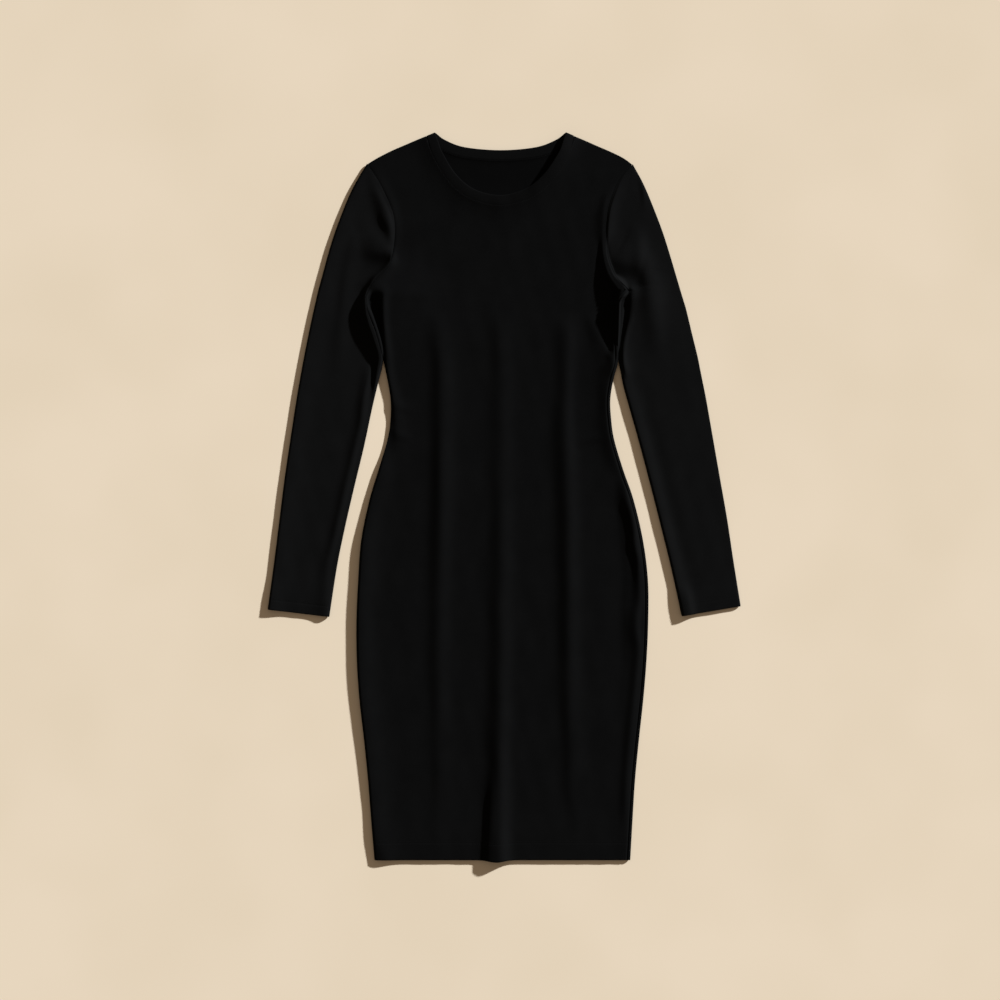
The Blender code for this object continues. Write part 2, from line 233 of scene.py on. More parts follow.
# The seams stand up where sleeve and side meet. Crest x, up, rise, spread to the left, to the right,
# half the width of the flat top
LEFT_UNDERARM = (
    (-0.1785, 0.9577, 0, 0.005, 0.008, 0),
    (-0.1704, 0.9423, 0.0009, 0.0055, 0.008, 0),
    (-0.1631, 0.9283, 0.0016, 0.006, 0.008, 0),
    (-0.1583, 0.9143, 0.0019, 0.006, 0.008, 0),
    (-0.155, 0.9003, 0.0019, 0.006, 0.008, 0),
    (-0.153, 0.8849, 0.0015, 0.005, 0.008, 0),
    (-0.1525, 0.8681, 0.0008, 0.004, 0.006, 0),
    (-0.1547, 0.8527, 0.001, 0.004, 0.004, 0),
    (-0.1569, 0.8415, 0.0034, 0.0042, 0.006, 0),
    (-0.1599, 0.8338, 0.0046, 0.0044, 0.007, 0),
    (-0.169, 0.8233, 0.0042, 0.0044, 0.009, 0.0002),
    (-0.1807, 0.8121, 0.005, 0.0046, 0.014, 0.0004),
    (-0.187, 0.8009, 0.0056, 0.0048, 0.014, 0.0004),
    (-0.1907, 0.7939, 0.0082, 0.005, 0.006, 0.0008),
    (-0.1926, 0.7855, 0.0106, 0.005, 0.0018, 0.001),
    (-0.1928, 0.7771, 0.0116, 0.005, 0.0012, 0.0012),
    (-0.1897, 0.7645, 0.0114, 0.0046, 0.0013, 0.003),
    (-0.1842, 0.7477, 0.0106, 0.0044, 0.0013, 0.0038),
    (-0.1777, 0.7281, 0.009, 0.0042, 0.0013, 0.0036),
    (-0.1735, 0.7113, 0.0074, 0.004, 0.0013, 0.0026),
    (-0.1735, 0.6987, 0.006, 0.004, 0.0014, 0.0016),
    (-0.176, 0.6875, 0.0052, 0.0036, 0.002, 0.001),
    (-0.1788, 0.6735, 0.0042, 0.0034, 0.0025, 0.0004),
    (-0.1813, 0.6609, 0.0024, 0.0036, 0.003, 0),
    (-0.1841, 0.6441, 0, 0.005, 0.004, 0),
)
# The slope from the left one down to the chest, which has no flat top
LEFT_SHELF = (
    (-0.1617, 0.8597, 0, 0.005, 0.024),
    (-0.1617, 0.8471, 0.0012, 0.006, 0.034),
    (-0.1631, 0.8345, 0.0024, 0.009, 0.044),
    (-0.1645, 0.8219, 0.0036, 0.014, 0.052),
    (-0.1659, 0.8107, 0.0046, 0.02, 0.058),
    (-0.1673, 0.8009, 0.0052, 0.022, 0.062),
    (-0.1681, 0.7939, 0.0052, 0.014, 0.064),
    (-0.1687, 0.7883, 0.0049, 0.0075, 0.066),
    (-0.1687, 0.7799, 0.0044, 0.005, 0.068),
    (-0.1669, 0.7589, 0.0039, 0.005, 0.07),
    (-0.1637, 0.7337, 0.0031, 0.005, 0.066),
    (-0.1603, 0.7085, 0.002, 0.005, 0.06),
    (-0.1561, 0.6805, 0.001, 0.006, 0.05),
    (-0.1519, 0.6469, 0, 0.008, 0.04),
)
# As at the left underarm
RIGHT_UNDERARM = (
    (0.1603, 0.9493, 0.0002, 0.01, 0.008, 0),
    (0.1485, 0.9199, 0.0017, 0.011, 0.008, 0),
    (0.1442, 0.9003, 0.0022, 0.012, 0.0085, 0),
    (0.1428, 0.8793, 0.0022, 0.009, 0.007, 0),
    (0.1396, 0.8625, 0.0028, 0.004, 0.0034, 0.0014),
    (0.1399, 0.8485, 0.0048, 0.0032, 0.0024, 0.0018),
    (0.142, 0.8373, 0.0062, 0.0034, 0.0024, 0.0022),
    (0.1452, 0.8261, 0.008, 0.0038, 0.0026, 0.0028),
    (0.1499, 0.8149, 0.0104, 0.004, 0.0026, 0.003),
    (0.1589, 0.8037, 0.0128, 0.004, 0.005, 0.004),
    (0.1648, 0.7939, 0.0142, 0.0042, 0.0022, 0.0046),
    (0.16, 0.7827, 0.0144, 0.0042, 0.0011, 0.0016),
    (0.1586, 0.7673, 0.0128, 0.0042, 0.0011, 0.0014),
    (0.1578, 0.7477, 0.0102, 0.0042, 0.0012, 0.0017),
    (0.1564, 0.7281, 0.0072, 0.0046, 0.0013, 0.002),
    (0.1558, 0.7113, 0.0056, 0.006, 0.0014, 0.0018),
    (0.1564, 0.6973, 0.0039, 0.009, 0.0016, 0.0014),
    (0.1539, 0.6833, 0.0016, 0.012, 0.0024, 0.0006),
    (0.1519, 0.6721, 0, 0.008, 0.004, 0),
)
# Shallow wrinkles of the back. Each is crest x, up, rise, spread to the left, to the right
BACK_WRINKLES = (
    ((-0.12, 0.64, 0, 0.009, 0.012), (-0.05, 0.63, 0.0012, 0.009, 0.012),
     (0.03, 0.638, 0, 0.009, 0.012)),
    ((0.14, 0.69, 0, 0.008, 0.011), (0.09, 0.668, 0.0014, 0.008, 0.011),
     (0.03, 0.662, 0, 0.008, 0.011)),
    ((0.05, 0.52, 0, 0.011, 0.014), (0.045, 0.33, 0.0013, 0.011, 0.014),
     (0.053, 0.12, 0, 0.011, 0.014)),
    ((-0.06, 0.46, 0, 0.012, 0.01), (-0.066, 0.29, 0.001, 0.012, 0.01),
     (-0.061, 0.15, 0, 0.012, 0.01)),
)
# Distances of the columns of cloth from a sewn edge, close together where it rolls over
EDGE_STEPS = (0, 0.0005, 0.0010, 0.0016, 0.0023, 0.0030, 0.0034, 0.0038, 0.0042, 0.0046, 0.0050, 0.0056,
              0.0066, 0.0080, 0.0100, 0.0122, 0.0146, 0.0171, 0.0197, 0.0226, 0.0258)
LOWER_STEPS = (0, 0.0005, 0.0010, 0.0015, 0.0020, 0.0028, 0.0045, 0.0080)
# Distances of the rows of cloth from the hem's edge
HEM_STEPS = (0.0012, 0.0020, 0.0032, 0.0050, 0.0075, 0.0105, 0.0140, 0.0175, 0.0200, 0.0216, 0.0228,
             0.0238, 0.0247, 0.0257, 0.0268, 0.0280, 0.0296, 0.0318, 0.0345)


def smooth_rows(rows, steps=6):
    """Catmull-Rom curve through a table's rows."""
    table = np.array(rows, float)
    table = np.vstack([2 * table[0] - table[1], table, 2 * table[-1] - table[-2]])
    t = np.linspace(0, 1, steps, endpoint=False)[:, None]
    stretches = []
    for a, b, c, d in zip(table, table[1:], table[2:], table[3:]):
        curve = 2 * a - 5 * b + 4 * c - d + t * (3 * b - a - 3 * c + d)
        stretches.append(b + 0.5 * t * (c - a + t * curve))
    stretches.append(table[-2:-1])
    return np.vstack(stretches)


def path_length(path):
    return np.linalg.norm(np.diff(path[:, :2], axis=0), axis=1).sum()


def lengths_along(line):
    """Distance travelled from the start of a line of places to each of them."""
    return np.concatenate([[0], np.cumsum(np.linalg.norm(np.diff(line, axis=0), axis=1))])


def at_share(path, shares):
    """Points of a path at shares of its length."""
    travelled = lengths_along(path[:, :2]) / path_length(path)
    return np.column_stack([np.interp(shares, travelled, column) for column in path.T])


def nearest(path, points):
    """For each point, the nearest place on a path, as a row of its columns, and the way there."""
    starts, runs = path[:-1], np.diff(path, axis=0)
    offsets = points[:, None] - starts[:, :2]
    shares = np.clip((offsets * runs[:, :2]).sum(-1) / (runs[:, :2] ** 2).sum(-1), 0, 1)
    ways = offsets - shares[..., None] * runs[:, :2]
    closest = (ways ** 2).sum(-1).argmin(1)
    pick = (np.arange(len(points)), closest)
    return starts[closest] + shares[pick][:, None] * runs[closest], ways[pick], runs[closest, :2]


def distance(path, points):
    flat = points.reshape(-1, 2)
    return np.linalg.norm(nearest(path, flat)[1], axis=1).reshape(points.shape[:-1])


def bell(gap, spread):
    return np.exp(-(gap / spread) ** 2)


def ramp(value, start, end):
    """0 before start, 1 after end, and a smooth rise between them."""
    share = np.clip((value - start) / (end - start), 0, 1)
    return share * share * (3 - 2 * share)


def rounding(gap, reach):
    """0 on a folded or sewn edge, 1 where the ply is clear of it, along a quarter of an ellipse."""
    return np.sqrt(np.clip(1 - (1 - np.clip(gap / reach, 0, 1)) ** 2, 0, 1))


def crease(points, rows):
    """Rise of one soft ridge or trough: each row is its crest's x and up, its rise, its spread to
    the left and to the right of a crest that runs down or across to the right, and half the width
    of its flat top where it has one."""
    path = smooth_rows(rows, 5)
    if path.shape[1] == 5:
        path = np.pad(path, ((0, 0), (0, 1)))
    rise = np.zeros(points.shape[:-1])
    reach = BELL_END * path[:, 3:].max()
    close = ((points > path[:, :2].min(0) - reach) & (points < path[:, :2].max(0) + reach)).all(-1)
    if close.any():
        crest, way, run = nearest(path, points[close])
        left = run[:, 0] * way[:, 1] < run[:, 1] * way[:, 0]
        spread = np.where(left, crest[:, 3], crest[:, 4])
        beside = np.maximum(np.linalg.norm(way, axis=1) - crest[:, 5], 0)
        rise[close] = crest[:, 2] * bell(beside, spread)
    return rise


def lift(points):
    """How high both plies and the seams between them are lifted where a sleeve meets the side."""
    return sum(crease(points, rows) for rows in (LEFT_UNDERARM, RIGHT_UNDERARM, LEFT_SHELF))


def spread_columns(width, first_steps, between, last_steps=(0,)):
    """Distances across a row: fixed steps in from each end, and even ones between them."""
    width = np.atleast_1d(width)[:, None]
    first, last = np.array(first_steps), np.array(last_steps)
    fit = np.minimum(1, STEPS_SHARE * width / max(first[-1], last[-1]))
    low, high = first * fit, width - last[::-1] * fit
    shares = np.linspace(0, 1, between + 2)[1:-1]
    return np.hstack([low, low[:, -1:] + (high[:, :1] - low[:, -1:]) * shares, high])


def unit(vectors):
    return vectors / np.linalg.norm(vectors, axis=-1)[..., None]


def hem_sag(points):
    """How far down the cloth has sunk at the hem's middle fold."""
    return DIP * bell(points[..., 0] - DIP_AT, DIP_SPREAD) * np.exp(-points[..., 1] / DIP_REACH)


def neck_seam(edge, shares, out=BAND_WIDTH):
    """The neckband's outer seam: the neck edge moved out by its width, ending on the shoulders."""
    after, before = np.minimum(shares + NECK_STEP, 1), np.maximum(shares - NECK_STEP, 0)
    along_edge = at_share(edge, after) - at_share(edge, before)
    outward = unit(np.column_stack([along_edge[:, 1], -along_edge[:, 0]]))
    for shoulder, end in ((SHOULDER_LEFT, 0.0), (SHOULDER_RIGHT, 1.0)):
        along_shoulder = unit(at_share(shoulder, [1 - BAND_TURN_SHARE])[0] - shoulder[-1])
        pull = bell(shares - end, BAND_TURN_SHARE)[:, None]
        outward = outward * (1 - pull) + along_shoulder * pull
    return at_share(edge, shares) + unit(outward) * out


def body_plan(neck, first_steps, side_count, middle_counts, row_step, armhole_rows):
    """Plan of the front or back: rows from hem to shoulder, columns along the side seams and folds."""
    underarm_up = ARMHOLES[0][1]
    ups = spread_columns(underarm_up, HEM_STEPS, round((underarm_up - HEM_STEPS[-1]) / row_step))[0]
    shares = ups / underarm_up
    up_right = ups + (ARMHOLES[0][3] - underarm_up) * shares ** 2
    left = np.column_stack([np.interp(ups, SIDE_LEFT[:, 1], SIDE_LEFT[:, 0]), ups])
    right = np.column_stack([np.interp(up_right, SIDE_RIGHT[:, 1], SIDE_RIGHT[:, 0]), up_right])
    arm_length = path_length(ARMHOLE_LEFT)
    arm_shares = spread_columns(arm_length, (0,), armhole_rows, EDGE_STEPS[:10])[0][1:] / arm_length
    left = np.vstack([left, at_share(ARMHOLE_LEFT, arm_shares)])
    right = np.vstack([right, at_share(ARMHOLE_RIGHT, arm_shares)])
    folds = smooth_rows(LONG_FOLDS)
    crests = [np.interp((left[:, 1] + right[:, 1]) / 2, folds[:, 0], column) for column in folds.T[1:]]
    right_columns = spread_columns(right[:, 0] - crests[2], first_steps, side_count)[:, ::-1]
    across = np.hstack([
        left[:, :1] + spread_columns(crests[0] - left[:, 0], first_steps, side_count),
        (crests[0][:, None] + spread_columns(crests[1] - crests[0], (0,), middle_counts[0]))[:, 1:],
        (crests[1][:, None] + spread_columns(crests[2] - crests[1], (0,), middle_counts[1]))[:, 1:],
        (right[:, :1] - right_columns)[:, 1:],
    ])
    tilt = (across - left[:, :1]) / (right[:, :1] - left[:, :1])
    plan = np.dstack([across, left[:, 1:] + (right[:, 1:] - left[:, 1:]) * tilt])
    left_shares = np.linspace(0, 0.5, middle_counts[0] + 2)
    right_shares = np.linspace(0.5, 1, middle_counts[1] + 2)[1:]
    seam = neck_seam(neck, np.concatenate([left_shares, right_shares]))
    edges = []
    for shoulder in (SHOULDER_LEFT, SHOULDER_RIGHT):
        width = path_length(shoulder)
        steps = spread_columns(width - BAND_WIDTH, first_steps, side_count)[0]
        edges.append(at_share(shoulder, steps / width))
    top = np.vstack([edges[0][:-1], seam, edges[1][-2::-1]])
    first = len(ups)
    for row in range(first, len(plan) - 1):
        share = arm_shares[row - first]
        plan[row] += share ** 2 * (3 - 2 * share) * (top - plan[-1])
    plan[-1] = top
    plan[..., 1] -= hem_sag(plan)
    return plan


def normals(places, closed=False):
    """Unit normals of a grid of places, rows by columns."""
    if closed:
        wide = np.concatenate([places[:, -2:-1], places, places[:, 1:2]], axis=1)
        across = wide[:, 2:] - wide[:, :-2]
    else:
        across = np.gradient(places, axis=1)
    return unit(np.cross(across, np.gradient(places, axis=0)) + 1e-15)


def turned(places, depth, inward, closed=False):
    """Adds a folded edge below the first row, and the ply turned in behind it, one row at a time."""
    facing = inward * normals(places, closed)
    down = unit(places[0] - places[1])
    rows = [places]
    for angle in np.linspace(0, math.pi, TURN_STEPS + 1)[1:]:
        way_round = facing[0] * (1 - math.cos(angle)) + down * math.sin(angle)
        rows.insert(0, (places[0] + TURN_RADIUS * way_round)[None])
    column = places[:, places.shape[1] // 3]
    travelled = np.linalg.norm(column - column[0], axis=1)
    for row in range(1, len(places)):
        if travelled[row] < depth:
            rows.insert(0, (places[row] + 2 * TURN_RADIUS * facing[row])[None])
    return np.vstack(rows)


def lay_cloth(name, places, wall, finish, closed=False):
    """A grid of cloth laid through rows of places, thickened to a ply, with its own metres as UV."""
    rows, columns = places.shape[0] - 1, places.shape[1] - 1
    along = np.concatenate([[0], np.cumsum(np.linalg.norm(np.diff(places, axis=0), axis=2).mean(1))])
    across = lengths_along(places[rows // 2])
    shape = bmesh.new()
    bmesh.ops.create_grid(shape, x_segments=columns, y_segments=rows, size=0.5)
    cut = shape.loops.layers.uv.new("cut")
    for face in shape.faces:
        for loop in face.loops:
            row, column = round((loop.vert.co.y + 0.5) * rows), round((loop.vert.co.x + 0.5) * columns)
            loop[cut].uv = (across[column], along[row])
    for vertex in shape.verts:
        row, column = round((vertex.co.y + 0.5) * rows), round((vertex.co.x + 0.5) * columns)
        x, up, z = places[row, column]
        vertex.co = (x, up - LENGTH / 2, z)
    if closed:
        bmesh.ops.remove_doubles(shape, verts=shape.verts, dist=2e-6)
    piece = make_object(name, shape, finish)
    ply = piece.modifiers.new("ply", "SOLIDIFY")
    ply.thickness = wall
    ply.offset = 0.0
    return piece


# Heavy double knit, piece-dyed black, matt: fine vertical wales crossed by courses, a soft fuzz that
# catches a little light, and broad, faint unevenness of the dye. The sizes of wale and course are assumed.
KNIT_BLACK = "#0B0B0B"
KNIT_WORN = "#0D0D0D"
REVERSE_PAINTED_SHADE_BLACK = "#080808"  # the inside of the back, which shows in the neck, painted darker than the front's knit: painted shade for the shade inside the neck opening
REVERSE_PAINTED_SHADE_WORN = "#0A0A0A"
SLEEVE_PAINTED_LIGHT_BLACK = "#0E0E0E"  # on the sleeves the wales run down to the hand, and take more of the light, which is painted into this lighter colour as painted light
SLEEVE_PAINTED_LIGHT_WORN = "#101010"
WALE = 0.0011
COURSE = 0.0009
KNIT_BUMP = 0.00016
FUZZ_SCALE = 900.0
DYE_PATCH = 0.045
BAND_PER_SCALE = math.pi / 10  # a wave texture at scale 1 repeats after this length


def double_knit(name, black, worn):
    finish = bpy.data.materials.new(name)
    finish.use_nodes = True
    tree = finish.node_tree
    cut_map = add_node(tree, "ShaderNodeUVMap", {}, uv_map="cut")
    where = add_node(tree, "ShaderNodeTexCoord", {})
    wales = add_node(tree, "ShaderNodeTexWave", {
        "Vector": cut_map.outputs["UV"], "Scale": BAND_PER_SCALE / WALE, "Distortion": 1.2,
        "Detail": 1.0, "Detail Scale": 1.5}, wave_type="BANDS", bands_direction="X")
    courses = add_node(tree, "ShaderNodeTexWave", {
        "Vector": cut_map.outputs["UV"], "Scale": BAND_PER_SCALE / COURSE, "Distortion": 1.6,
        "Detail": 1.0, "Detail Scale": 1.5}, wave_type="BANDS", bands_direction="Y")
    loops = add_node(tree, "ShaderNodeMath", {
        0: wales.outputs["Fac"], 1: courses.outputs["Fac"]}, operation="ADD")
    fuzz = add_node(tree, "ShaderNodeTexNoise", {
        "Vector": where.outputs["Object"], "Scale": FUZZ_SCALE, "Detail": 3.0, "Roughness": 0.7})
    relief = add_node(tree, "ShaderNodeMath", {
        0: loops.outputs[0], 1: fuzz.outputs["Fac"]}, operation="ADD")
    bump = add_node(tree, "ShaderNodeBump", {
        "Height": relief.outputs[0], "Strength": 0.35, "Distance": KNIT_BUMP})
    dye = add_node(tree, "ShaderNodeTexNoise", {
        "Vector": where.outputs["Object"], "Scale": 1 / DYE_PATCH, "Detail": 4.0, "Roughness": 0.6})
    tones = add_node(tree, "ShaderNodeValToRGB", {"Fac": dye.outputs["Fac"]})
    tones.color_ramp.elements[0].position = 0.3
    tones.color_ramp.elements[0].color = linear(black)
    tones.color_ramp.elements[1].position = 0.7
    tones.color_ramp.elements[1].color = linear(worn)
    shader = tree.nodes["Principled BSDF"]
    tree.links.new(tones.outputs["Color"], shader.inputs["Base Color"])
    tree.links.new(bump.outputs["Normal"], shader.inputs["Normal"])
    shader.inputs["Roughness"].default_value = 0.9
    shader.inputs["Specular IOR Level"].default_value = 0.008
    shader.inputs["Sheen Weight"].default_value = 0.002
    shader.inputs["Sheen Roughness"].default_value = 0.5
    return finish


knit = double_knit("black_double_knit", KNIT_BLACK, KNIT_WORN)
# A darker copy of the knit for the back: painted shade where its inside shows in the neck opening.
knit_reverse_painted_shade = double_knit("black_double_knit_reverse_painted_shade", REVERSE_PAINTED_SHADE_BLACK, REVERSE_PAINTED_SHADE_WORN)
# A lighter copy of the knit for the sleeves: painted light for the extra light their wales take.
knit_sleeve_painted_light = double_knit("black_double_knit_sleeve_painted_light", SLEEVE_PAINTED_LIGHT_BLACK, SLEEVE_PAINTED_LIGHT_WORN)

ARMHOLE_LEFT = smooth_rows([row[:2] for row in ARMHOLES])
ARMHOLE_RIGHT = smooth_rows([row[2:] for row in ARMHOLES])
SHOULDER_LEFT = smooth_rows([row[:2] for row in SHOULDERS])
SHOULDER_RIGHT = smooth_rows([row[2:] for row in SHOULDERS])
SIDE_LEFT = smooth_rows([(row[1], row[0]) for row in SIDES])
SIDE_RIGHT = smooth_rows([(row[2], row[0]) for row in SIDES[:-1]] + [ARMHOLES[0][2:]])
NECK_BACK = smooth_rows(BACK_NECK)
BACK_NECK_RISE = 0.0038  # the back's neck lies a little higher than its shoulders
BACK_NECK_REACH = 0.045
BACK_BAND_STEP = 0.0008  # and rises to the neckband over its seam allowances
BACK_BAND_SPREAD = 0.0030
SEAM_DIP = 0.0002  # how far the armhole's stitches draw the cloth in
SEAM_DIP_SPREAD = 0.0015
SEWN_EDGES = (SIDE_LEFT, SIDE_RIGHT, SHOULDER_LEFT, SHOULDER_RIGHT)


def from_edges(points, edges):
    return np.minimum.reduce([distance(edge, points) for edge in edges])


def back_free(points):
    """Middle of the back away from its sewn edges."""
    wrinkles = sum(crease(points, rows) for rows in BACK_WRINKLES)
    neck = BACK_NECK_RISE * bell(distance(NECK_BACK, points), BACK_NECK_REACH)
    return FLOOR_PLY + lift(points) + wrinkles + neck


def seam_dip(points):
    """Both plies are drawn in by the stitches of the armhole seam."""
    return -SEAM_DIP * bell(from_edges(points, (ARMHOLE_LEFT, ARMHOLE_RIGHT)), SEAM_DIP_SPREAD)


def back_height(points):
    free = back_free(points)
    free += BACK_BAND_STEP * bell(distance(NECK_BACK, points) - BAND_WIDTH, BACK_BAND_SPREAD)
    joint = SEAM_HEIGHT - SEAM_GAP / 2 + lift(points)
    return joint + (free - joint) * rounding(from_edges(points, SEWN_EDGES), LOWER_ROLL)


plan = body_plan(NECK_BACK, LOWER_STEPS, side_count=10, middle_counts=(15, 18), row_step=0.0062,
                 armhole_rows=30)
back_grid = np.dstack([plan, back_height(plan)])
# The back takes the darker copy of the knit, painted shade for the neck opening.
back = lay_cloth("back_cloth", turned(back_grid, HEM_DEPTH, 1), WALL, knit_reverse_painted_shade)
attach(back, "root")
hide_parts("back_panel")


# The front: the same knit, cut with a lower neck and sewn to the back at the shoulders and sides.
# Three long folds run down it, the skirt's middle one standing up at the hem; the hip rolls over.
FRONT_FLAT = 0.0023  # middle of the upper ply where it lies on the lower one
HEM_FLAT = 0.0036  # the same over the four plies of the hem
HEM_EASE = 0.055  # length over which the front slopes up to its hem
TURNED_IN = 0.001  # how far inside a turned-up ply's end the slope ends
NECK_RISE = 0.0036
BAND_STEP = 0.0003  # the front and back rise to the neckband over its seam allowances
BAND_STEP_SPREAD = 0.0050
NECK_REACH = 0.024
SEAM_LINE_IN = 0.0042  # the right side seam shows as a thin groove
SEAM_LINE = 0.0014
SEAM_LINE_SPREAD = 0.0008
HEM_STITCHED = 0.0246  # middle of the hem's two rows of stitches, which draw the cloth in
STITCHED_DIP = 0.00016
STITCHED_SPREAD = 0.0013
WAVES = 16
WAVE_RISE = 0.000030
WAVE_LENGTHS = (0.024, 0.070)
WAVE_TURN = 0.35

# The front's neck edge, between the two neck points: x, up
FRONT_NECK = (
    (-0.0973, 1.0176),
    (-0.0932, 1.006),
    (-0.0865, 0.989),
    (-0.0679, 0.9591),
    (-0.042, 0.938),
    (-0.005, 0.9297),
    (0.0315, 0.9395),
    (0.0567, 0.9605),
    (0.076, 0.989),
    (0.0825, 1.006),
    (0.0861, 1.0176),
)
# Each of these is crest x, up, rise, spread to the left, to the right
LEFT_FOLD = (
    (-0.091, 0.7673, 0, 0.011, 0.014),
    (-0.0906, 0.7421, 0.0023, 0.0125, 0.014),
    (-0.0899, 0.7211, 0.0034, 0.012, 0.0155),
    (-0.0886, 0.7001, 0.0038, 0.0114, 0.015),
    (-0.0872, 0.6441, 0.004, 0.012, 0.0145),
    (-0.0875, 0.5881, 0.0045, 0.0119, 0.0145),
    (-0.0883, 0.5321, 0.0051, 0.0115, 0.0142),
    (-0.0886, 0.4761, 0.0048, 0.0126, 0.0133),
    (-0.09, 0.4201, 0.0044, 0.0123, 0.013),
    (-0.0916, 0.3641, 0.0036, 0.0118, 0.0128),
    (-0.0923, 0.3081, 0.0033, 0.0112, 0.013),
    (-0.0918, 0.2521, 0.0031, 0.011, 0.0137),
    (-0.0916, 0.1961, 0.0024, 0.0108, 0.0149),
    (-0.0914, 0.1401, 0.0017, 0.0095, 0.015),
    (-0.0911, 0.0981, 0.0012, 0.009, 0.017),
    (-0.0907, 0.0631, 0.001, 0.011, 0.018),
    (-0.0903, 0.0281, 0.0005, 0.012, 0.016),
    (-0.0903, 0.0043, 0, 0.012, 0.015),
)
MIDDLE_FOLD = (
    (-0.0063, 0.7701, 0, 0.012, 0.015),
    (-0.0063, 0.7449, 0.0019, 0.0117, 0.0156),
    (-0.0057, 0.7211, 0.0022, 0.012, 0.017),
    (-0.0049, 0.7001, 0.0024, 0.0126, 0.0157),
    (-0.0039, 0.6441, 0.0027, 0.0138, 0.0125),
    (-0.0035, 0.5881, 0.0026, 0.0142, 0.0128),
    (-0.0041, 0.5321, 0.0028, 0.013, 0.0135),
    (-0.0039, 0.4761, 0.0032, 0.0124, 0.0134),
    (-0.0035, 0.4201, 0.0037, 0.0134, 0.0129),
    (-0.0045, 0.3641, 0.0041, 0.014, 0.0128),
    (-0.0046, 0.3081, 0.0044, 0.0137, 0.0128),
    (-0.005, 0.2521, 0.005, 0.0138, 0.0126),
    (-0.0057, 0.1961, 0.0056, 0.0142, 0.0116),
    (-0.0063, 0.1401, 0.0063, 0.014, 0.0114),
    (-0.0063, 0.0981, 0.0069, 0.015, 0.011),
    (-0.006, 0.0631, 0.0073, 0.016, 0.0108),
    (-0.0063, 0.0351, 0.0079, 0.0165, 0.0108),
    (-0.0056, 0.0015, 0.0088, 0.017, 0.011),
)
HEM_FLANK = (
    (-0.0168, 0.1289, 0, 0.005, 0.008),
    (-0.0181, 0.0981, 0.0013, 0.005, 0.0085),
    (-0.02, 0.0631, 0.0024, 0.005, 0.009),
    (-0.0211, 0.0351, 0.0025, 0.005, 0.009),
    (-0.0225, 0.0015, 0.0026, 0.005, 0.009),
)
RIGHT_FOLD = (
    (0.0847, 0.7673, 0, 0.012, 0.012),
    (0.0868, 0.7421, 0.0024, 0.0125, 0.0115),
    (0.0883, 0.7211, 0.0032, 0.0133, 0.0106),
    (0.0869, 0.7001, 0.0033, 0.012, 0.0106),
    (0.0855, 0.6441, 0.0038, 0.0126, 0.0098),
    (0.0855, 0.5881, 0.0049, 0.014, 0.0108),
    (0.0875, 0.5321, 0.0052, 0.0141, 0.0128),
    (0.0892, 0.4761, 0.0054, 0.0137, 0.012),
    (0.0895, 0.4201, 0.0052, 0.0129, 0.012),
    (0.0903, 0.3641, 0.0049, 0.012, 0.0126),
    (0.0903, 0.3081, 0.0047, 0.0121, 0.0129),
    (0.0904, 0.2521, 0.004, 0.0118, 0.0134),
    (0.0917, 0.1961, 0.0032, 0.0105, 0.0142),
    (0.0938, 0.1401, 0.0027, 0.0105, 0.017),
    (0.0952, 0.0981, 0.0019, 0.0102, 0.02),
    (0.1001, 0.0631, 0.0008, 0.009, 0.018),
    (0.1029, 0.0393, 0, 0.009, 0.018),
)
RIGHT_HIP_ROLL = (
    (0.1645, 0.5405, 0.0003, 0.008, 0.006),
    (0.1684, 0.5237, 0.003, 0.009, 0.006),
    (0.1721, 0.5041, 0.0052, 0.0095, 0.0055),
    (0.1778, 0.4831, 0.0054, 0.0085, 0.0055),
    (0.1816, 0.4621, 0.0056, 0.008, 0.0055),
    (0.1833, 0.4411, 0.0058, 0.008, 0.006),
    (0.1872, 0.4201, 0.0048, 0.007, 0.0055),
    (0.1883, 0.3921, 0.0036, 0.0065, 0.0055),
    (0.1886, 0.3641, 0.0032, 0.0085, 0.0055),
    (0.1849, 0.3431, 0.0038, 0.0095, 0.006),
    (0.1847, 0.3221, 0.0037, 0.0105, 0.0055),
    (0.1877, 0.2941, 0.0028, 0.0085, 0.005),
    (0.1838, 0.2521, 0.0026, 0.0072, 0.005),
    (0.1782, 0.1961, 0.0024, 0.0072, 0.0055),
    (0.1726, 0.1401, 0.0022, 0.0066, 0.006),
    (0.1698, 0.0841, 0.002, 0.0068, 0.0055),
    (0.1687, 0.0561, 0.0012, 0.007, 0.006),
    (0.168, 0.0351, 0.0004, 0.008, 0.006),
    (0.1673, 0.0057, 0, 0.008, 0.006),
)
LEFT_EDGE = (
    (-0.1603, 0.5769, 0, 0.009, 0.013),
    (-0.168, 0.5629, 0.0016, 0.009, 0.014),
    (-0.1736, 0.5461, 0.0032, 0.01, 0.0155),
    (-0.182, 0.5181, 0.0034, 0.01, 0.0165),
    (-0.1869, 0.4971, 0.0036, 0.01, 0.017),
    (-0.1914, 0.4761, 0.0042, 0.01, 0.017),
    (-0.1961, 0.4481, 0.005, 0.01, 0.017),
    (-0.1995, 0.4061, 0.0052, 0.01, 0.0175),
    (-0.2026, 0.3641, 0.0053, 0.01, 0.0175),
    (-0.2034, 0.3221, 0.0053, 0.01, 0.018),
    (-0.2026, 0.2801, 0.0053, 0.01, 0.0185),
    (-0.2002, 0.2381, 0.005, 0.01, 0.0185),
    (-0.1959, 0.1961, 0.0046, 0.01, 0.0185),
    (-0.1917, 0.1541, 0.0043, 0.01, 0.018),
    (-0.1872, 0.1121, 0.0039, 0.01, 0.0175),
    (-0.1833, 0.0701, 0.0034, 0.01, 0.017),
    (-0.1778, 0.0351, 0.003, 0.011, 0.016),
    (-0.168, 0.0043, 0.0027, 0.014, 0.016),
)
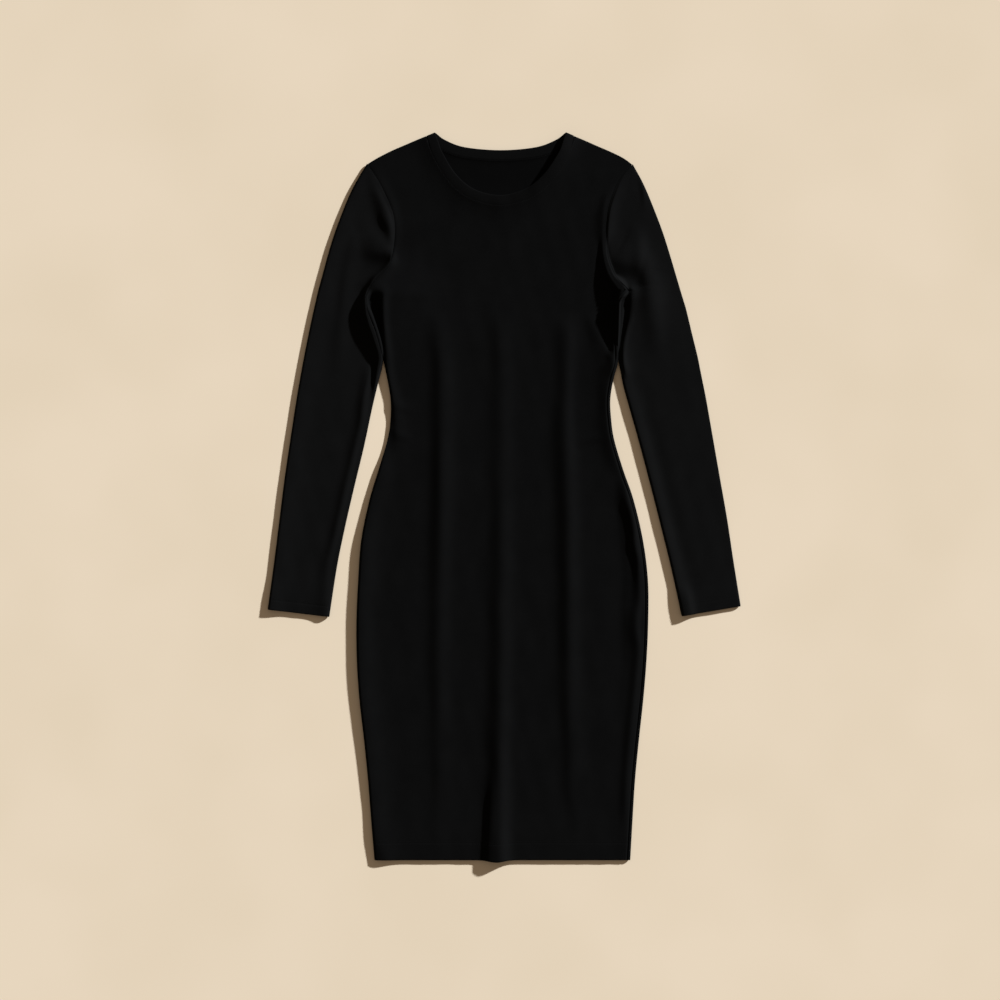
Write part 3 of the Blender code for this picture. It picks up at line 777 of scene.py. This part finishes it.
LEFT_CHEST = (
    (-0.1666, 0.8065, 0, 0.005, 0.006),
    (-0.1673, 0.7981, 0.0006, 0.0042, 0.006),
    (-0.1684, 0.7897, 0.0024, 0.0038, 0.006),
    (-0.1698, 0.7813, 0.0036, 0.0036, 0.006),
    (-0.1701, 0.7589, 0.0039, 0.0034, 0.0058),
    (-0.169, 0.7421, 0.0039, 0.003, 0.006),
    (-0.1677, 0.7253, 0.0038, 0.0026, 0.0062),
    (-0.1656, 0.7085, 0.0037, 0.0026, 0.0068),
    (-0.1641, 0.6889, 0.0036, 0.0026, 0.007),
    (-0.1611, 0.6693, 0.0031, 0.0032, 0.0075),
    (-0.1554, 0.6469, 0.0026, 0.005, 0.0085),
    (-0.1512, 0.6189, 0.0024, 0.006, 0.011),
    (-0.1505, 0.5881, 0.0008, 0.006, 0.012),
    (-0.1519, 0.5657, 0, 0.006, 0.012),
)
RIGHT_WAIST_EDGE = (
    (0.1533, 0.7001, 0, 0.012, 0.005),
    (0.1512, 0.6847, 0.0024, 0.014, 0.004),
    (0.1491, 0.6679, 0.0038, 0.017, 0.004),
    (0.1452, 0.6441, 0.0041, 0.011, 0.0045),
    (0.146, 0.6231, 0.004, 0.0125, 0.0045),
    (0.1469, 0.6021, 0.0039, 0.013, 0.0045),
    (0.1502, 0.5825, 0.0032, 0.012, 0.0045),
    (0.1544, 0.5643, 0.0026, 0.011, 0.005),
    (0.1596, 0.5461, 0.0012, 0.01, 0.005),
    (0.1638, 0.5349, 0, 0.009, 0.005),
)
RIGHT_NECK_EDGE = (
    (0.0889, 1.0137, 0.0042, 0.016, 0.016),
    (0.0791, 0.9941, 0.0064, 0.016, 0.016),
    (0.0637, 0.9717, 0.0059, 0.016, 0.016),
    (0.0455, 0.9521, 0.0034, 0.016, 0.016),
    (0.0259, 0.9381, 0.0012, 0.016, 0.016),
    (0.0063, 0.9311, 0, 0.016, 0.016),
)
WAIST_WRINKLES = (
    ((0.1127, 0.7673, 0, 0.008, 0.01), (0.1218, 0.7533, 0.0014, 0.009, 0.01),
     (0.1295, 0.7379, 0.0023, 0.012, 0.01), (0.1379, 0.7253, 0.0028, 0.017, 0.005),
     (0.1428, 0.7127, 0.0028, 0.018, 0.005), (0.1449, 0.7001, 0.0022, 0.018, 0.006),
     (0.1449, 0.6861, 0.0016, 0.017, 0.007), (0.1456, 0.6721, 0.0006, 0.014, 0.007),
     (0.1463, 0.6609, 0, 0.012, 0.007)),
    ((0.1442, 0.7127, 0, 0.005, 0.005), (0.1498, 0.7043, 0.0014, 0.0055, 0.0035),
     (0.1533, 0.6959, 0.002, 0.0055, 0.003), (0.153, 0.6875, 0.0018, 0.0044, 0.0032),
     (0.1519, 0.6791, 0.0013, 0.0035, 0.004), (0.1533, 0.6665, 0, 0.004, 0.004)),
    ((0.0987, 0.5783, 0, 0.005, 0.007), (0.1113, 0.5867, 0.0007, 0.005, 0.007),
     (0.1267, 0.5909, 0.0008, 0.005, 0.007), (0.1407, 0.5881, 0, 0.005, 0.007)),
    ((-0.1617, 0.6469, 0, 0.006, 0.008), (-0.1505, 0.6371, 0.0008, 0.006, 0.008),
     (-0.1379, 0.6315, 0.0008, 0.006, 0.008), (-0.1225, 0.6301, 0, 0.006, 0.008)),
    ((-0.1631, 0.6091, 0, 0.006, 0.007), (-0.1533, 0.5993, 0.0009, 0.006, 0.007),
     (-0.1421, 0.5937, 0.0009, 0.006, 0.007), (-0.1281, 0.5923, 0, 0.006, 0.007)),
    ((0.1533, 0.9437, 0, 0.005, 0.003), (0.1435, 0.9283, 0.0008, 0.006, 0.003),
     (0.1389, 0.9129, 0.0011, 0.005, 0.0032), (0.1371, 0.8961, 0.0011, 0.009, 0.003),
     (0.1364, 0.8793, 0.0011, 0.009, 0.003), (0.1362, 0.8667, 0.0006, 0.006, 0.0024),
     (0.1372, 0.8569, 0, 0.004, 0.002)),
    ((0.1519, 0.5083, 0, 0.014, 0.004), (0.1575, 0.4831, -0.0007, 0.014, 0.004),
     (0.1617, 0.4411, -0.0009, 0.015, 0.005), (0.1652, 0.3921, -0.0009, 0.015, 0.005),
     (0.1624, 0.3361, -0.0009, 0.016, 0.005), (0.1638, 0.2801, -0.0005, 0.015, 0.005),
     (0.1603, 0.2241, -0.0003, 0.012, 0.005), (0.1575, 0.1681, 0, 0.012, 0.005)),
)
FRONT_CREASES = (LEFT_FOLD, MIDDLE_FOLD, HEM_FLANK, RIGHT_FOLD, RIGHT_HIP_ROLL, LEFT_EDGE, LEFT_CHEST,
                 RIGHT_WAIST_EDGE, RIGHT_NECK_EDGE) + WAIST_WRINKLES

NECK_FRONT = smooth_rows(FRONT_NECK)
chance = np.random.RandomState(11)
wave_turns = chance.uniform(-WAVE_TURN, WAVE_TURN, WAVES)
wave_lengths = chance.uniform(*WAVE_LENGTHS, WAVES)
wave_starts = chance.uniform(0, 2 * math.pi, WAVES)


def waves(points):
    """Broad, faint unevenness of cloth that has been smoothed out by hand."""
    total = np.zeros(points.shape[:-1])
    for turn, length, start in zip(wave_turns, wave_lengths, wave_starts):
        travel = points[..., 0] * math.cos(turn) + points[..., 1] * math.sin(turn)
        total += WAVE_RISE * np.sin(2 * math.pi * travel / length + start)
    return total


def front_free(points):
    """Middle of the front away from its sewn edges."""
    height = FRONT_FLAT + lift(points) + waves(points) + seam_dip(points)
    height += sum(crease(points, rows) for rows in FRONT_CREASES)
    height += (HEM_FLAT - FRONT_FLAT) * ramp(-points[..., 1], -HEM_DEPTH - HEM_EASE, -HEM_DEPTH + TURNED_IN)
    height += NECK_RISE * bell(distance(NECK_FRONT, points), NECK_REACH)
    return height


def front_height(points):
    from_edge = from_edges(points, SEWN_EDGES)
    from_stitches = points[..., 1] + hem_sag(points) - HEM_STITCHED
    free = front_free(points) - STITCHED_DIP * bell(from_stitches, STITCHED_SPREAD)
    free -= SEAM_LINE * bell(distance(SIDE_RIGHT, points) - SEAM_LINE_IN, SEAM_LINE_SPREAD)
    free += BAND_STEP * bell(distance(NECK_FRONT, points) - BAND_WIDTH, BAND_STEP_SPREAD)
    joint = SEAM_HEIGHT + SEAM_GAP / 2 + lift(points)
    return joint + (free - joint) * rounding(from_edge, UPPER_ROLL)


plan = body_plan(NECK_FRONT, EDGE_STEPS, side_count=20, middle_counts=(26, 30), row_step=0.0036,
                 armhole_rows=74)
front_grid = np.dstack([plan, front_height(plan)])
front = lay_cloth("front_cloth", turned(front_grid, HEM_DEPTH, -1), WALL, knit)
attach(front, "root")
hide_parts("front_panel")


# The neckband: one narrow strip of the knit, folded in half and pressed, sewn round the whole neck
# with its fold at the neck edge and turned over each shoulder from the front to the back.
BAND_WALL = 0.0008
BAND_HALF = 0.00045  # from the middle of the band to the middle of either of its plies
BAND_FOLD_SHARE = 0.045
BAND_PINCH = 0.10  # how much thinner the band is at its seam
BAND_PINCH_SHARE = 0.07
BAND_GAP = 0.00015
BAND_CORNER_GAP = 0.0010
BAND_CORNER_SHARE = 0.06
BAND_FLOOR = 0.00090
BAND_COLUMNS = (1.0, 0.975, 0.94, 0.88, 0.78, 0.64, 0.48, 0.33, 0.20, 0.12, 0.07, 0.04, 0.018, 0.006,
                0.0)
BAND_CORNER_SHARES = (0.0, 0.0025, 0.005, 0.008, 0.012, 0.017, 0.023, 0.030, 0.040)
BAND_EVEN_SHARES = np.linspace(0.05, 0.95, 96)

across = np.array(BAND_COLUMNS)
corner_shares = np.array(BAND_CORNER_SHARES)
shares = np.concatenate([corner_shares, BAND_EVEN_SHARES, 1 - corner_shares[::-1]])
halves = []
for edge in (NECK_FRONT, NECK_BACK):
    inner = at_share(edge, shares)
    outer = neck_seam(edge, shares)
    gap = BAND_GAP + BAND_CORNER_GAP * bell(np.minimum(shares, 1 - shares), BAND_CORNER_SHARE)
    outer += (inner - outer) / BAND_WIDTH * gap[:, None]
    plan = inner[:, None] + (outer - inner)[:, None] * across[None, :, None]
    corner = from_edges(plan, (SHOULDER_LEFT, SHOULDER_RIGHT))
    free = front_free(plan) if edge is NECK_FRONT else back_free(plan) + BAND_FLOOR - FLOOR_PLY
    roll = UPPER_ROLL if edge is NECK_FRONT else LOWER_ROLL
    halves.append(np.dstack([plan, SEAM_HEIGHT + (free - SEAM_HEIGHT) * rounding(corner, roll)]))
middle = np.vstack([halves[0], halves[1][-2:0:-1], halves[0][:1]])
wide = np.concatenate([middle[-2:-1], middle, middle[1:2]], axis=0)
facing = unit(np.cross(np.gradient(middle, axis=1), wide[2:] - wide[:-2]))
fold = rounding(across, BAND_FOLD_SHARE)
half = BAND_HALF * fold * (1 - BAND_PINCH * bell(1 - across, BAND_PINCH_SHARE))
over = middle + facing * half[None, :, None]
under = (middle - facing * half[None, :, None])[:, ::-1]
ring = np.hstack([over, under[:, 1:], over[:, :1]])
neckband = lay_cloth("neckband_cloth", ring, BAND_WALL, knit, closed=True)
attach(neckband, "root")
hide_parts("neckband")


# The sleeves: each is one piece of the knit, folded at its outer edge and sewn down the underarm,
# set into the armhole, with its cuff turned in and coverstitched.
CUFF_DEPTH = 0.0175
CUFF_STITCHED = 0.0148
SLEEVE_FLAT = 0.0025
CUFF_FLAT = 0.0036
CUFF_EASE = 0.040  # length over which the sleeve slopes up to its cuff
SLEEVE_ROW = 0.0034
CAP_ROWS = 66
SLEEVE_STEPS = EDGE_STEPS[:18]
FOLD_HEIGHT = 0.0021
ARMHOLE_GAP = 0.0001
CORNER_GAP = 0.0002
CORNER_REACH = 0.012
# Lift of each sleeve's top over its outer fold and over its seam: rise, how far in, spread
LEFT_SLEEVE_EDGES = ((0.0026, 0.0020, 0.0190), (0.0000, 0.0050, 0.0060))
RIGHT_SLEEVE_EDGES = ((0.0000, 0.0040, 0.0100), (0.0027, 0.0024, 0.0110))
CUFF_STEPS = (0.0012, 0.0020, 0.0032, 0.0048, 0.0068, 0.0090, 0.0110, 0.0126, 0.0140, 0.0154, 0.0168,
              0.0182, 0.0200, 0.0225, 0.0255)

# Sleeve sections, cuff to underarm: outer fold x, up, underarm seam x, up
LEFT_SLEEVE = (
    (-0.3308, 0.3505, -0.2454, 0.3402),  # cuff
    (-0.3213, 0.4201, -0.2345, 0.411),
    (-0.3143, 0.4761, -0.2231, 0.467),
    (-0.3073, 0.5321, -0.2102, 0.523),
    (-0.2991, 0.5881, -0.1967, 0.579),  # elbow
    (-0.2905, 0.6441, -0.185, 0.634),
    (-0.2845, 0.6791, -0.1765, 0.669),
    (-0.2812, 0.6966, -0.1718, 0.688),
    (-0.2779, 0.7141, -0.1706, 0.704),
    (-0.2723, 0.7421, -0.1785, 0.734),
    (-0.2662, 0.7701, -0.1888, 0.762),
    (-0.2597, 0.7981, -0.1935, 0.7883),  # underarm
)
RIGHT_SLEEVE = (
    (0.3303, 0.3551, 0.2486, 0.3412),  # cuff
    (0.3199, 0.4201, 0.234, 0.408),
    (0.3115, 0.4761, 0.2202, 0.464),
    (0.3017, 0.5321, 0.206, 0.52),
    (0.2919, 0.5881, 0.191, 0.577),  # elbow
    (0.2821, 0.6441, 0.1753, 0.633),
    (0.2765, 0.6721, 0.1672, 0.662),
    (0.273, 0.6896, 0.163, 0.684),
    (0.27, 0.7046, 0.1599, 0.699),
    (0.2625, 0.7351, 0.1577, 0.728),
    (0.2541, 0.7701, 0.1582, 0.765),
    (0.2499, 0.7841, 0.1598, 0.7815),
    (0.2457, 0.7981, 0.1743, 0.7972),  # underarm
)
# Outer fold of each sleeve's cap, underarm level to shoulder tip: left x, left up, right x, right up
CAPS = (
    (-0.2597, 0.7981, 0.2457, 0.7981),
    (-0.2401, 0.8681, 0.2247, 0.8681),
    (-0.2191, 0.9241, 0.2093, 0.9101),
    (-0.2051, 0.9521, 0.1939, 0.9465),
    (-0.1919, 0.9741, 0.1793, 0.9734),
)
# Each of these is crest x, up, rise, spread to the left, to the right
LEFT_SLEEVE_CREASES = (
    ((-0.1883, 0.9577, 0, 0.008, 0.006), (-0.1819, 0.9437, 0.001, 0.009, 0.0065),
     (-0.1751, 0.9283, 0.0028, 0.0095, 0.0065), (-0.1704, 0.9143, 0.0037, 0.0092, 0.007),
     (-0.167, 0.9003, 0.0047, 0.0088, 0.008), (-0.162, 0.8863, 0.0047, 0.008, 0.007),
     (-0.1583, 0.8723, 0.0029, 0.0065, 0.0046), (-0.1567, 0.8597, 0, 0.006, 0.004)),
    ((-0.1701, 0.9241, 0, 0.004, 0.003), (-0.1651, 0.9115, 0.0008, 0.0042, 0.003),
     (-0.1611, 0.8989, 0.0013, 0.0045, 0.003), (-0.1578, 0.8849, 0.001, 0.0045, 0.003),
     (-0.1555, 0.8737, 0, 0.004, 0.003)),
    ((-0.2065, 0.8821, 0, 0.008, 0.011), (-0.2107, 0.8639, 0.0012, 0.007, 0.012),
     (-0.2163, 0.8373, 0.0015, 0.008, 0.012), (-0.2219, 0.8051, 0.0016, 0.008, 0.012),
     (-0.2254, 0.7729, 0.0016, 0.008, 0.012), (-0.2289, 0.7393, 0.0013, 0.008, 0.011),
     (-0.2317, 0.7057, 0.0008, 0.009, 0.011), (-0.2331, 0.6777, 0, 0.009, 0.011)),
    ((-0.2121, 0.8513, 0, 0.012, 0.024), (-0.2009, 0.8513, 0.0006, 0.013, 0.026),
     (-0.1911, 0.852, 0.0026, 0.0135, 0.024), (-0.1813, 0.8527, 0.0046, 0.014, 0.024),
     (-0.1701, 0.852, 0.0062, 0.014, 0.022), (-0.1603, 0.8513, 0.006, 0.013, 0.019),
     (-0.1519, 0.8513, 0.003, 0.012, 0.016)),
    ((-0.189, 0.6973, 0, 0.007, 0.005), (-0.1897, 0.6861, 0.0016, 0.007, 0.0045),
     (-0.1911, 0.6735, 0.0026, 0.0072, 0.0045), (-0.1942, 0.6581, 0.0031, 0.0064, 0.0055),
     (-0.197, 0.6413, 0.0032, 0.006, 0.0065), (-0.2009, 0.6091, 0.0029, 0.006, 0.006),
     (-0.2085, 0.5783, 0.0028, 0.006, 0.0055), (-0.2213, 0.5237, 0.0028, 0.0062, 0.0055),
     (-0.2339, 0.4677, 0.0027, 0.0062, 0.0055), (-0.2408, 0.4397, 0.0022, 0.0065, 0.0055),
     (-0.2464, 0.4173, 0.0015, 0.007, 0.0055), (-0.2492, 0.3977, 0.0014, 0.009, 0.006),
     (-0.2499, 0.3753, 0.002, 0.01, 0.0075), (-0.2499, 0.3445, 0.002, 0.01, 0.0075)),
)
RIGHT_SLEEVE_CREASES = (
    ((0.1785, 0.8037, 0, 0.0028, 0.03), (0.1785, 0.7967, 0.0022, 0.0028, 0.034),
     (0.1779, 0.7883, 0.004, 0.003, 0.038), (0.177, 0.7785, 0.0046, 0.003, 0.038),
     (0.1761, 0.7645, 0.0044, 0.003, 0.034), (0.1718, 0.7449, 0.0034, 0.003, 0.024),
     (0.1676, 0.7267, 0.0025, 0.003, 0.016), (0.1651, 0.7085, 0.0018, 0.003, 0.012),
     (0.1659, 0.6917, 0.0012, 0.003, 0.012), (0.1701, 0.6721, 0, 0.003, 0.012)),
    ((0.1785, 0.8037, 0, 0.0018, 0.0018), (0.1788, 0.7953, 0.0006, 0.0018, 0.0018),
     (0.1777, 0.7813, 0.0009, 0.0018, 0.0018), (0.177, 0.7645, 0.0009, 0.0018, 0.0018),
     (0.1726, 0.7449, 0.0013, 0.0018, 0.0018), (0.1687, 0.7267, 0.0015, 0.0018, 0.002),
     (0.1665, 0.7085, 0.0019, 0.0018, 0.0026), (0.1673, 0.6917, 0.0018, 0.002, 0.004),
     (0.1729, 0.6721, 0, 0.003, 0.006)),
    ((0.1827, 0.8933, 0, 0.009, 0.011), (0.1869, 0.8737, 0.0013, 0.01, 0.01),
     (0.1904, 0.8569, 0.0026, 0.011, 0.01), (0.1936, 0.8401, 0.004, 0.012, 0.0115),
     (0.1973, 0.8205, 0.0052, 0.0125, 0.014), (0.2031, 0.8009, 0.006, 0.013, 0.0175),
     (0.2059, 0.7785, 0.0052, 0.014, 0.0165), (0.2099, 0.7477, 0.0032, 0.017, 0.014),
     (0.2149, 0.7141, 0.0013, 0.018, 0.013), (0.2205, 0.6805, 0, 0.014, 0.013)),
    ((0.1407, 0.8499, 0, 0.012, 0.016), (0.1505, 0.8443, 0.0016, 0.014, 0.02),
     (0.1603, 0.8394, 0.0042, 0.0155, 0.026), (0.1729, 0.8366, 0.0054, 0.0165, 0.028),
     (0.1855, 0.8338, 0.0044, 0.016, 0.026), (0.1939, 0.8317, 0.0012, 0.014, 0.02)),
    ((0.1715, 0.9633, 0.0002, 0.003, 0.008), (0.1609, 0.9437, 0.0008, 0.0018, 0.009),
     (0.1508, 0.9171, 0.0013, 0.0018, 0.0095), (0.1464, 0.8933, 0.0014, 0.0018, 0.0095),
     (0.1455, 0.8737, 0.0012, 0.0018, 0.009), (0.1471, 0.8569, 0.0005, 0.0018, 0.007),
     (0.1519, 0.8429, 0, 0.002, 0.006)),
    ((0.1645, 0.8037, 0, 0.0026, 0.0026), (0.169, 0.7911, -0.0011, 0.0028, 0.0028),
     (0.1693, 0.7757, -0.0012, 0.0028, 0.0028), (0.1681, 0.7561, -0.0011, 0.0026, 0.0026),
     (0.1653, 0.7365, -0.0007, 0.0024, 0.0024), (0.1631, 0.7197, 0, 0.0024, 0.0024)),
    ((0.1911, 0.9577, 0, 0.004, 0.006), (0.1939, 0.9409, 0.0009, 0.0035, 0.006),
     (0.1953, 0.9241, 0.0009, 0.0035, 0.006), (0.1953, 0.9073, 0, 0.004, 0.006)),
    ((0.1869, 0.6833, 0, 0.009, 0.009), (0.1939, 0.6441, -0.0007, 0.009, 0.012),
     (0.2079, 0.5881, -0.001, 0.009, 0.012), (0.2247, 0.5181, -0.001, 0.009, 0.012),
     (0.2415, 0.4481, -0.001, 0.009, 0.012), (0.2569, 0.4005, -0.0006, 0.009, 0.012),
     (0.2667, 0.3641, 0, 0.009, 0.012)),
    ((0.2499, 0.3893, 0, 0.009, 0.007), (0.2548, 0.3725, 0.0022, 0.009, 0.0063),
     (0.2583, 0.3557, 0.0027, 0.009, 0.006), (0.2604, 0.3431, 0.0022, 0.009, 0.0063)),
)


def sleeve(name, node, sections, cap, armhole, outward, edge_rises, creases):
    """A tube lying flat below the underarm, and above it a cap open along the armhole seam."""
    tube_path = smooth_rows(sections, 8)
    length = path_length(tube_path)
    steps = spread_columns(length, CUFF_STEPS, round((length - CUFF_STEPS[-1]) / SLEEVE_ROW))[0]
    tube = at_share(tube_path, steps / length)
    arm_length = path_length(armhole)
    arm_shares = spread_columns(arm_length, (0,), CAP_ROWS, EDGE_STEPS[:9])[0][1:] / arm_length
    seam = at_share(armhole, arm_shares)
    ends = np.minimum.reduce([np.linalg.norm(seam - armhole[end], axis=1) for end in (0, -1)])
    seam[:, 0] += outward * (ARMHOLE_GAP + CORNER_GAP * bell(ends, CORNER_REACH))
    outer = np.vstack([tube[:, :2], at_share(cap, arm_shares)])
    inner = np.vstack([tube[:, 2:], seam])
    inner[-1] = outer[-1]
    outer_edge, inner_edge = smooth_rows(outer[::4], 2), smooth_rows(sections, 6)[:, 2:]
    cuff_line = np.array([sections[0][:2], sections[0][2:]])
    width = np.linalg.norm(outer - inner, axis=1)
    safe = np.maximum(width, 1e-9)[:, None]
    over_shares = spread_columns(width, SLEEVE_STEPS, 13, SLEEVE_STEPS) / safe
    under_shares = spread_columns(width, LOWER_STEPS, 10, LOWER_STEPS) / safe

    def heights(shares):
        points = inner[:, None] + (outer - inner)[:, None] * shares[..., None]
        raised = lift(points)
        joint = FOLD_HEIGHT + raised
        from_outer, from_inner = distance(outer_edge, points), distance(inner_edge, points)
        from_edge = np.minimum(from_outer, from_inner)
        free = SLEEVE_FLAT + raised + waves(points) + seam_dip(points)
        free += sum(crease(points, rows) for rows in creases)
        from_cuff = distance(cuff_line, points)
        cuff_rise = ramp(-from_cuff, -CUFF_DEPTH - CUFF_EASE, -CUFF_DEPTH + TURNED_IN)
        free += (CUFF_FLAT - SLEEVE_FLAT) * cuff_rise
        free -= STITCHED_DIP * bell(from_cuff - CUFF_STITCHED, STITCHED_SPREAD)
        for gap, (rise, inset, spread) in zip((from_outer, from_inner), edge_rises):
            free += rise * bell(gap - inset, spread)
        upper = joint + (free - joint) * rounding(from_edge, UPPER_ROLL)
        lower = joint + (FLOOR_PLY + raised - joint) * rounding(from_edge, LOWER_ROLL)
        return points, upper, lower

    over_plan, over, _ = heights(over_shares)
    under_plan, _, under = heights(under_shares)
    upper, lower = np.dstack([over_plan, over]), np.dstack([under_plan, under])
    around = turned(np.hstack([upper, lower[:, ::-1][:, 1:]]), CUFF_DEPTH, -outward, closed=True)
    # The sleeve takes the lighter copy of the knit, with its painted light.
    piece = lay_cloth(name, around, WALL, knit_sleeve_painted_light, closed=True)
    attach(piece, "root")
    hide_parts(node)
    return piece, upper, lower


CAP_LEFT = smooth_rows([row[:2] for row in CAPS])
CAP_RIGHT = smooth_rows([row[2:] for row in CAPS])
sleeve_left, *left_plies = sleeve(
    "sleeve_left_cloth", "sleeve_left", LEFT_SLEEVE, CAP_LEFT, ARMHOLE_LEFT, -1, LEFT_SLEEVE_EDGES,
    LEFT_SLEEVE_CREASES)
sleeve_right, *right_plies = sleeve(
    "sleeve_right_cloth", "sleeve_right", RIGHT_SLEEVE, CAP_RIGHT, ARMHOLE_RIGHT, 1, RIGHT_SLEEVE_EDGES,
    RIGHT_SLEEVE_CREASES)


# The stitching: hem and cuffs are coverstitched, which shows as two rows of short stitches all round,
# and one row of topstitches runs round the neck beside the band, through its seam allowances.
STITCH = 0.0030
STITCH_HALVES = (0.00120, 0.00032, 0.00022)  # half of a stitch's length, width and height
PROUD = 0.00018  # how far a stitch stands out of the cloth
PROUD_BELOW = 0.00004  # and on the underside, where it is pressed flat
HEM_ROWS = (0.0230, 0.0262)
CUFF_ROWS = (0.0132, 0.0164)
NECK_ROW = 0.0016
NECK_ROW_SHARES = np.linspace(0.02, 0.98, 160)  # of the neck edge, clear of the shoulder seams

# Spun thread, taken to be polyester, dyed black: rounder and a little smoother than the knit, so that
# each stitch has a faint gleam. Its twist, taken to be 0.4 mm, is drawn at 1 mm so that it shows.
THREAD_BLACK = "#0B0B0B"
THREAD_WORN = "#131313"
TWIST = 0.001
TWIST_BUMP = 0.0001

thread = bpy.data.materials.new("black_polyester_thread")
thread.use_nodes = True
tree = thread.node_tree
where = add_node(tree, "ShaderNodeTexCoord", {})
plies = add_node(tree, "ShaderNodeTexWave", {
    "Vector": where.outputs["Object"], "Scale": BAND_PER_SCALE / TWIST, "Distortion": 0.6},
    wave_type="BANDS", bands_direction="DIAGONAL")
bump = add_node(tree, "ShaderNodeBump", {
    "Height": plies.outputs["Fac"], "Strength": 0.3, "Distance": TWIST_BUMP})
tones = add_node(tree, "ShaderNodeValToRGB", {"Fac": plies.outputs["Fac"]})
tones.color_ramp.elements[0].color = linear(THREAD_BLACK)
tones.color_ramp.elements[1].color = linear(THREAD_WORN)
shader = tree.nodes["Principled BSDF"]
tree.links.new(tones.outputs["Color"], shader.inputs["Base Color"])
tree.links.new(bump.outputs["Normal"], shader.inputs["Normal"])
shader.inputs["Roughness"].default_value = 0.6
shader.inputs["Specular IOR Level"].default_value = 0.03


def needle_rows(grid, steps, rows):
    """Lines across a grid of cloth at those distances from its first edge, between its own rows."""
    lines = []
    for row in rows:
        after = np.searchsorted(steps, row)
        share = (row - steps[after - 1]) / (steps[after] - steps[after - 1])
        lines.append(grid[after - 1] + (grid[after] - grid[after - 1]) * share)
    return lines


def sew(name, upper_lines, lower_lines, slot):
    """Stitches along lines of places, on top of the upper ones and under the lower ones."""
    shape = bmesh.new()
    out_above, out_below = (WALL / 2 + proud - STITCH_HALVES[2] for proud in (PROUD, PROUD_BELOW))
    lines = [(line, out_above) for line in upper_lines] + [(line, -out_below) for line in lower_lines]
    for line, out in lines:
        travelled = lengths_along(line)
        starts = np.arange(STITCH / 2, travelled[-1] - 1.5 * STITCH, STITCH)
        ends = [np.column_stack([np.interp(at, travelled, column) for column in line.T])
                for at in (starts, starts + STITCH)]
        along = unit(ends[1] - ends[0])
        side = unit(np.cross((0, 0, 1), along))
        facing = np.cross(along, side)
        middles = (ends[0] + ends[1]) / 2 + facing * out - (0, LENGTH / 2, 0)
        for middle, *axes in zip(middles, along, side, facing):
            turn = Matrix([axis * half for axis, half in zip(axes, STITCH_HALVES)]).transposed().to_4x4()
            place = Matrix.Translation(middle) @ turn
            bmesh.ops.create_icosphere(shape, subdivisions=1, radius=1, matrix=place)
    piece = make_object(name, shape, thread)
    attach(piece, "root")
    return piece


front_hem = sew("front_hem_stitches", needle_rows(front_grid, HEM_STEPS, HEM_ROWS), (), "double_knit")
back_hem = sew("back_hem_stitches", (), needle_rows(back_grid, HEM_STEPS, HEM_ROWS), "double_knit")
left_cuff, right_cuff = [
    sew(name, *(needle_rows(ply, CUFF_STEPS, CUFF_ROWS) for ply in plies_of), "double_knit")
    for name, plies_of in (("left_cuff_stitches", left_plies), ("right_cuff_stitches", right_plies))]
round_neck = []
for edge, height_at in ((NECK_FRONT, front_height), (NECK_BACK, back_height)):
    seam = neck_seam(edge, NECK_ROW_SHARES, BAND_WIDTH + NECK_ROW)
    round_neck.append(np.column_stack([seam, height_at(seam)]))
neck_stitches = sew("neck_stitches", round_neck, (), "neckband_knit")
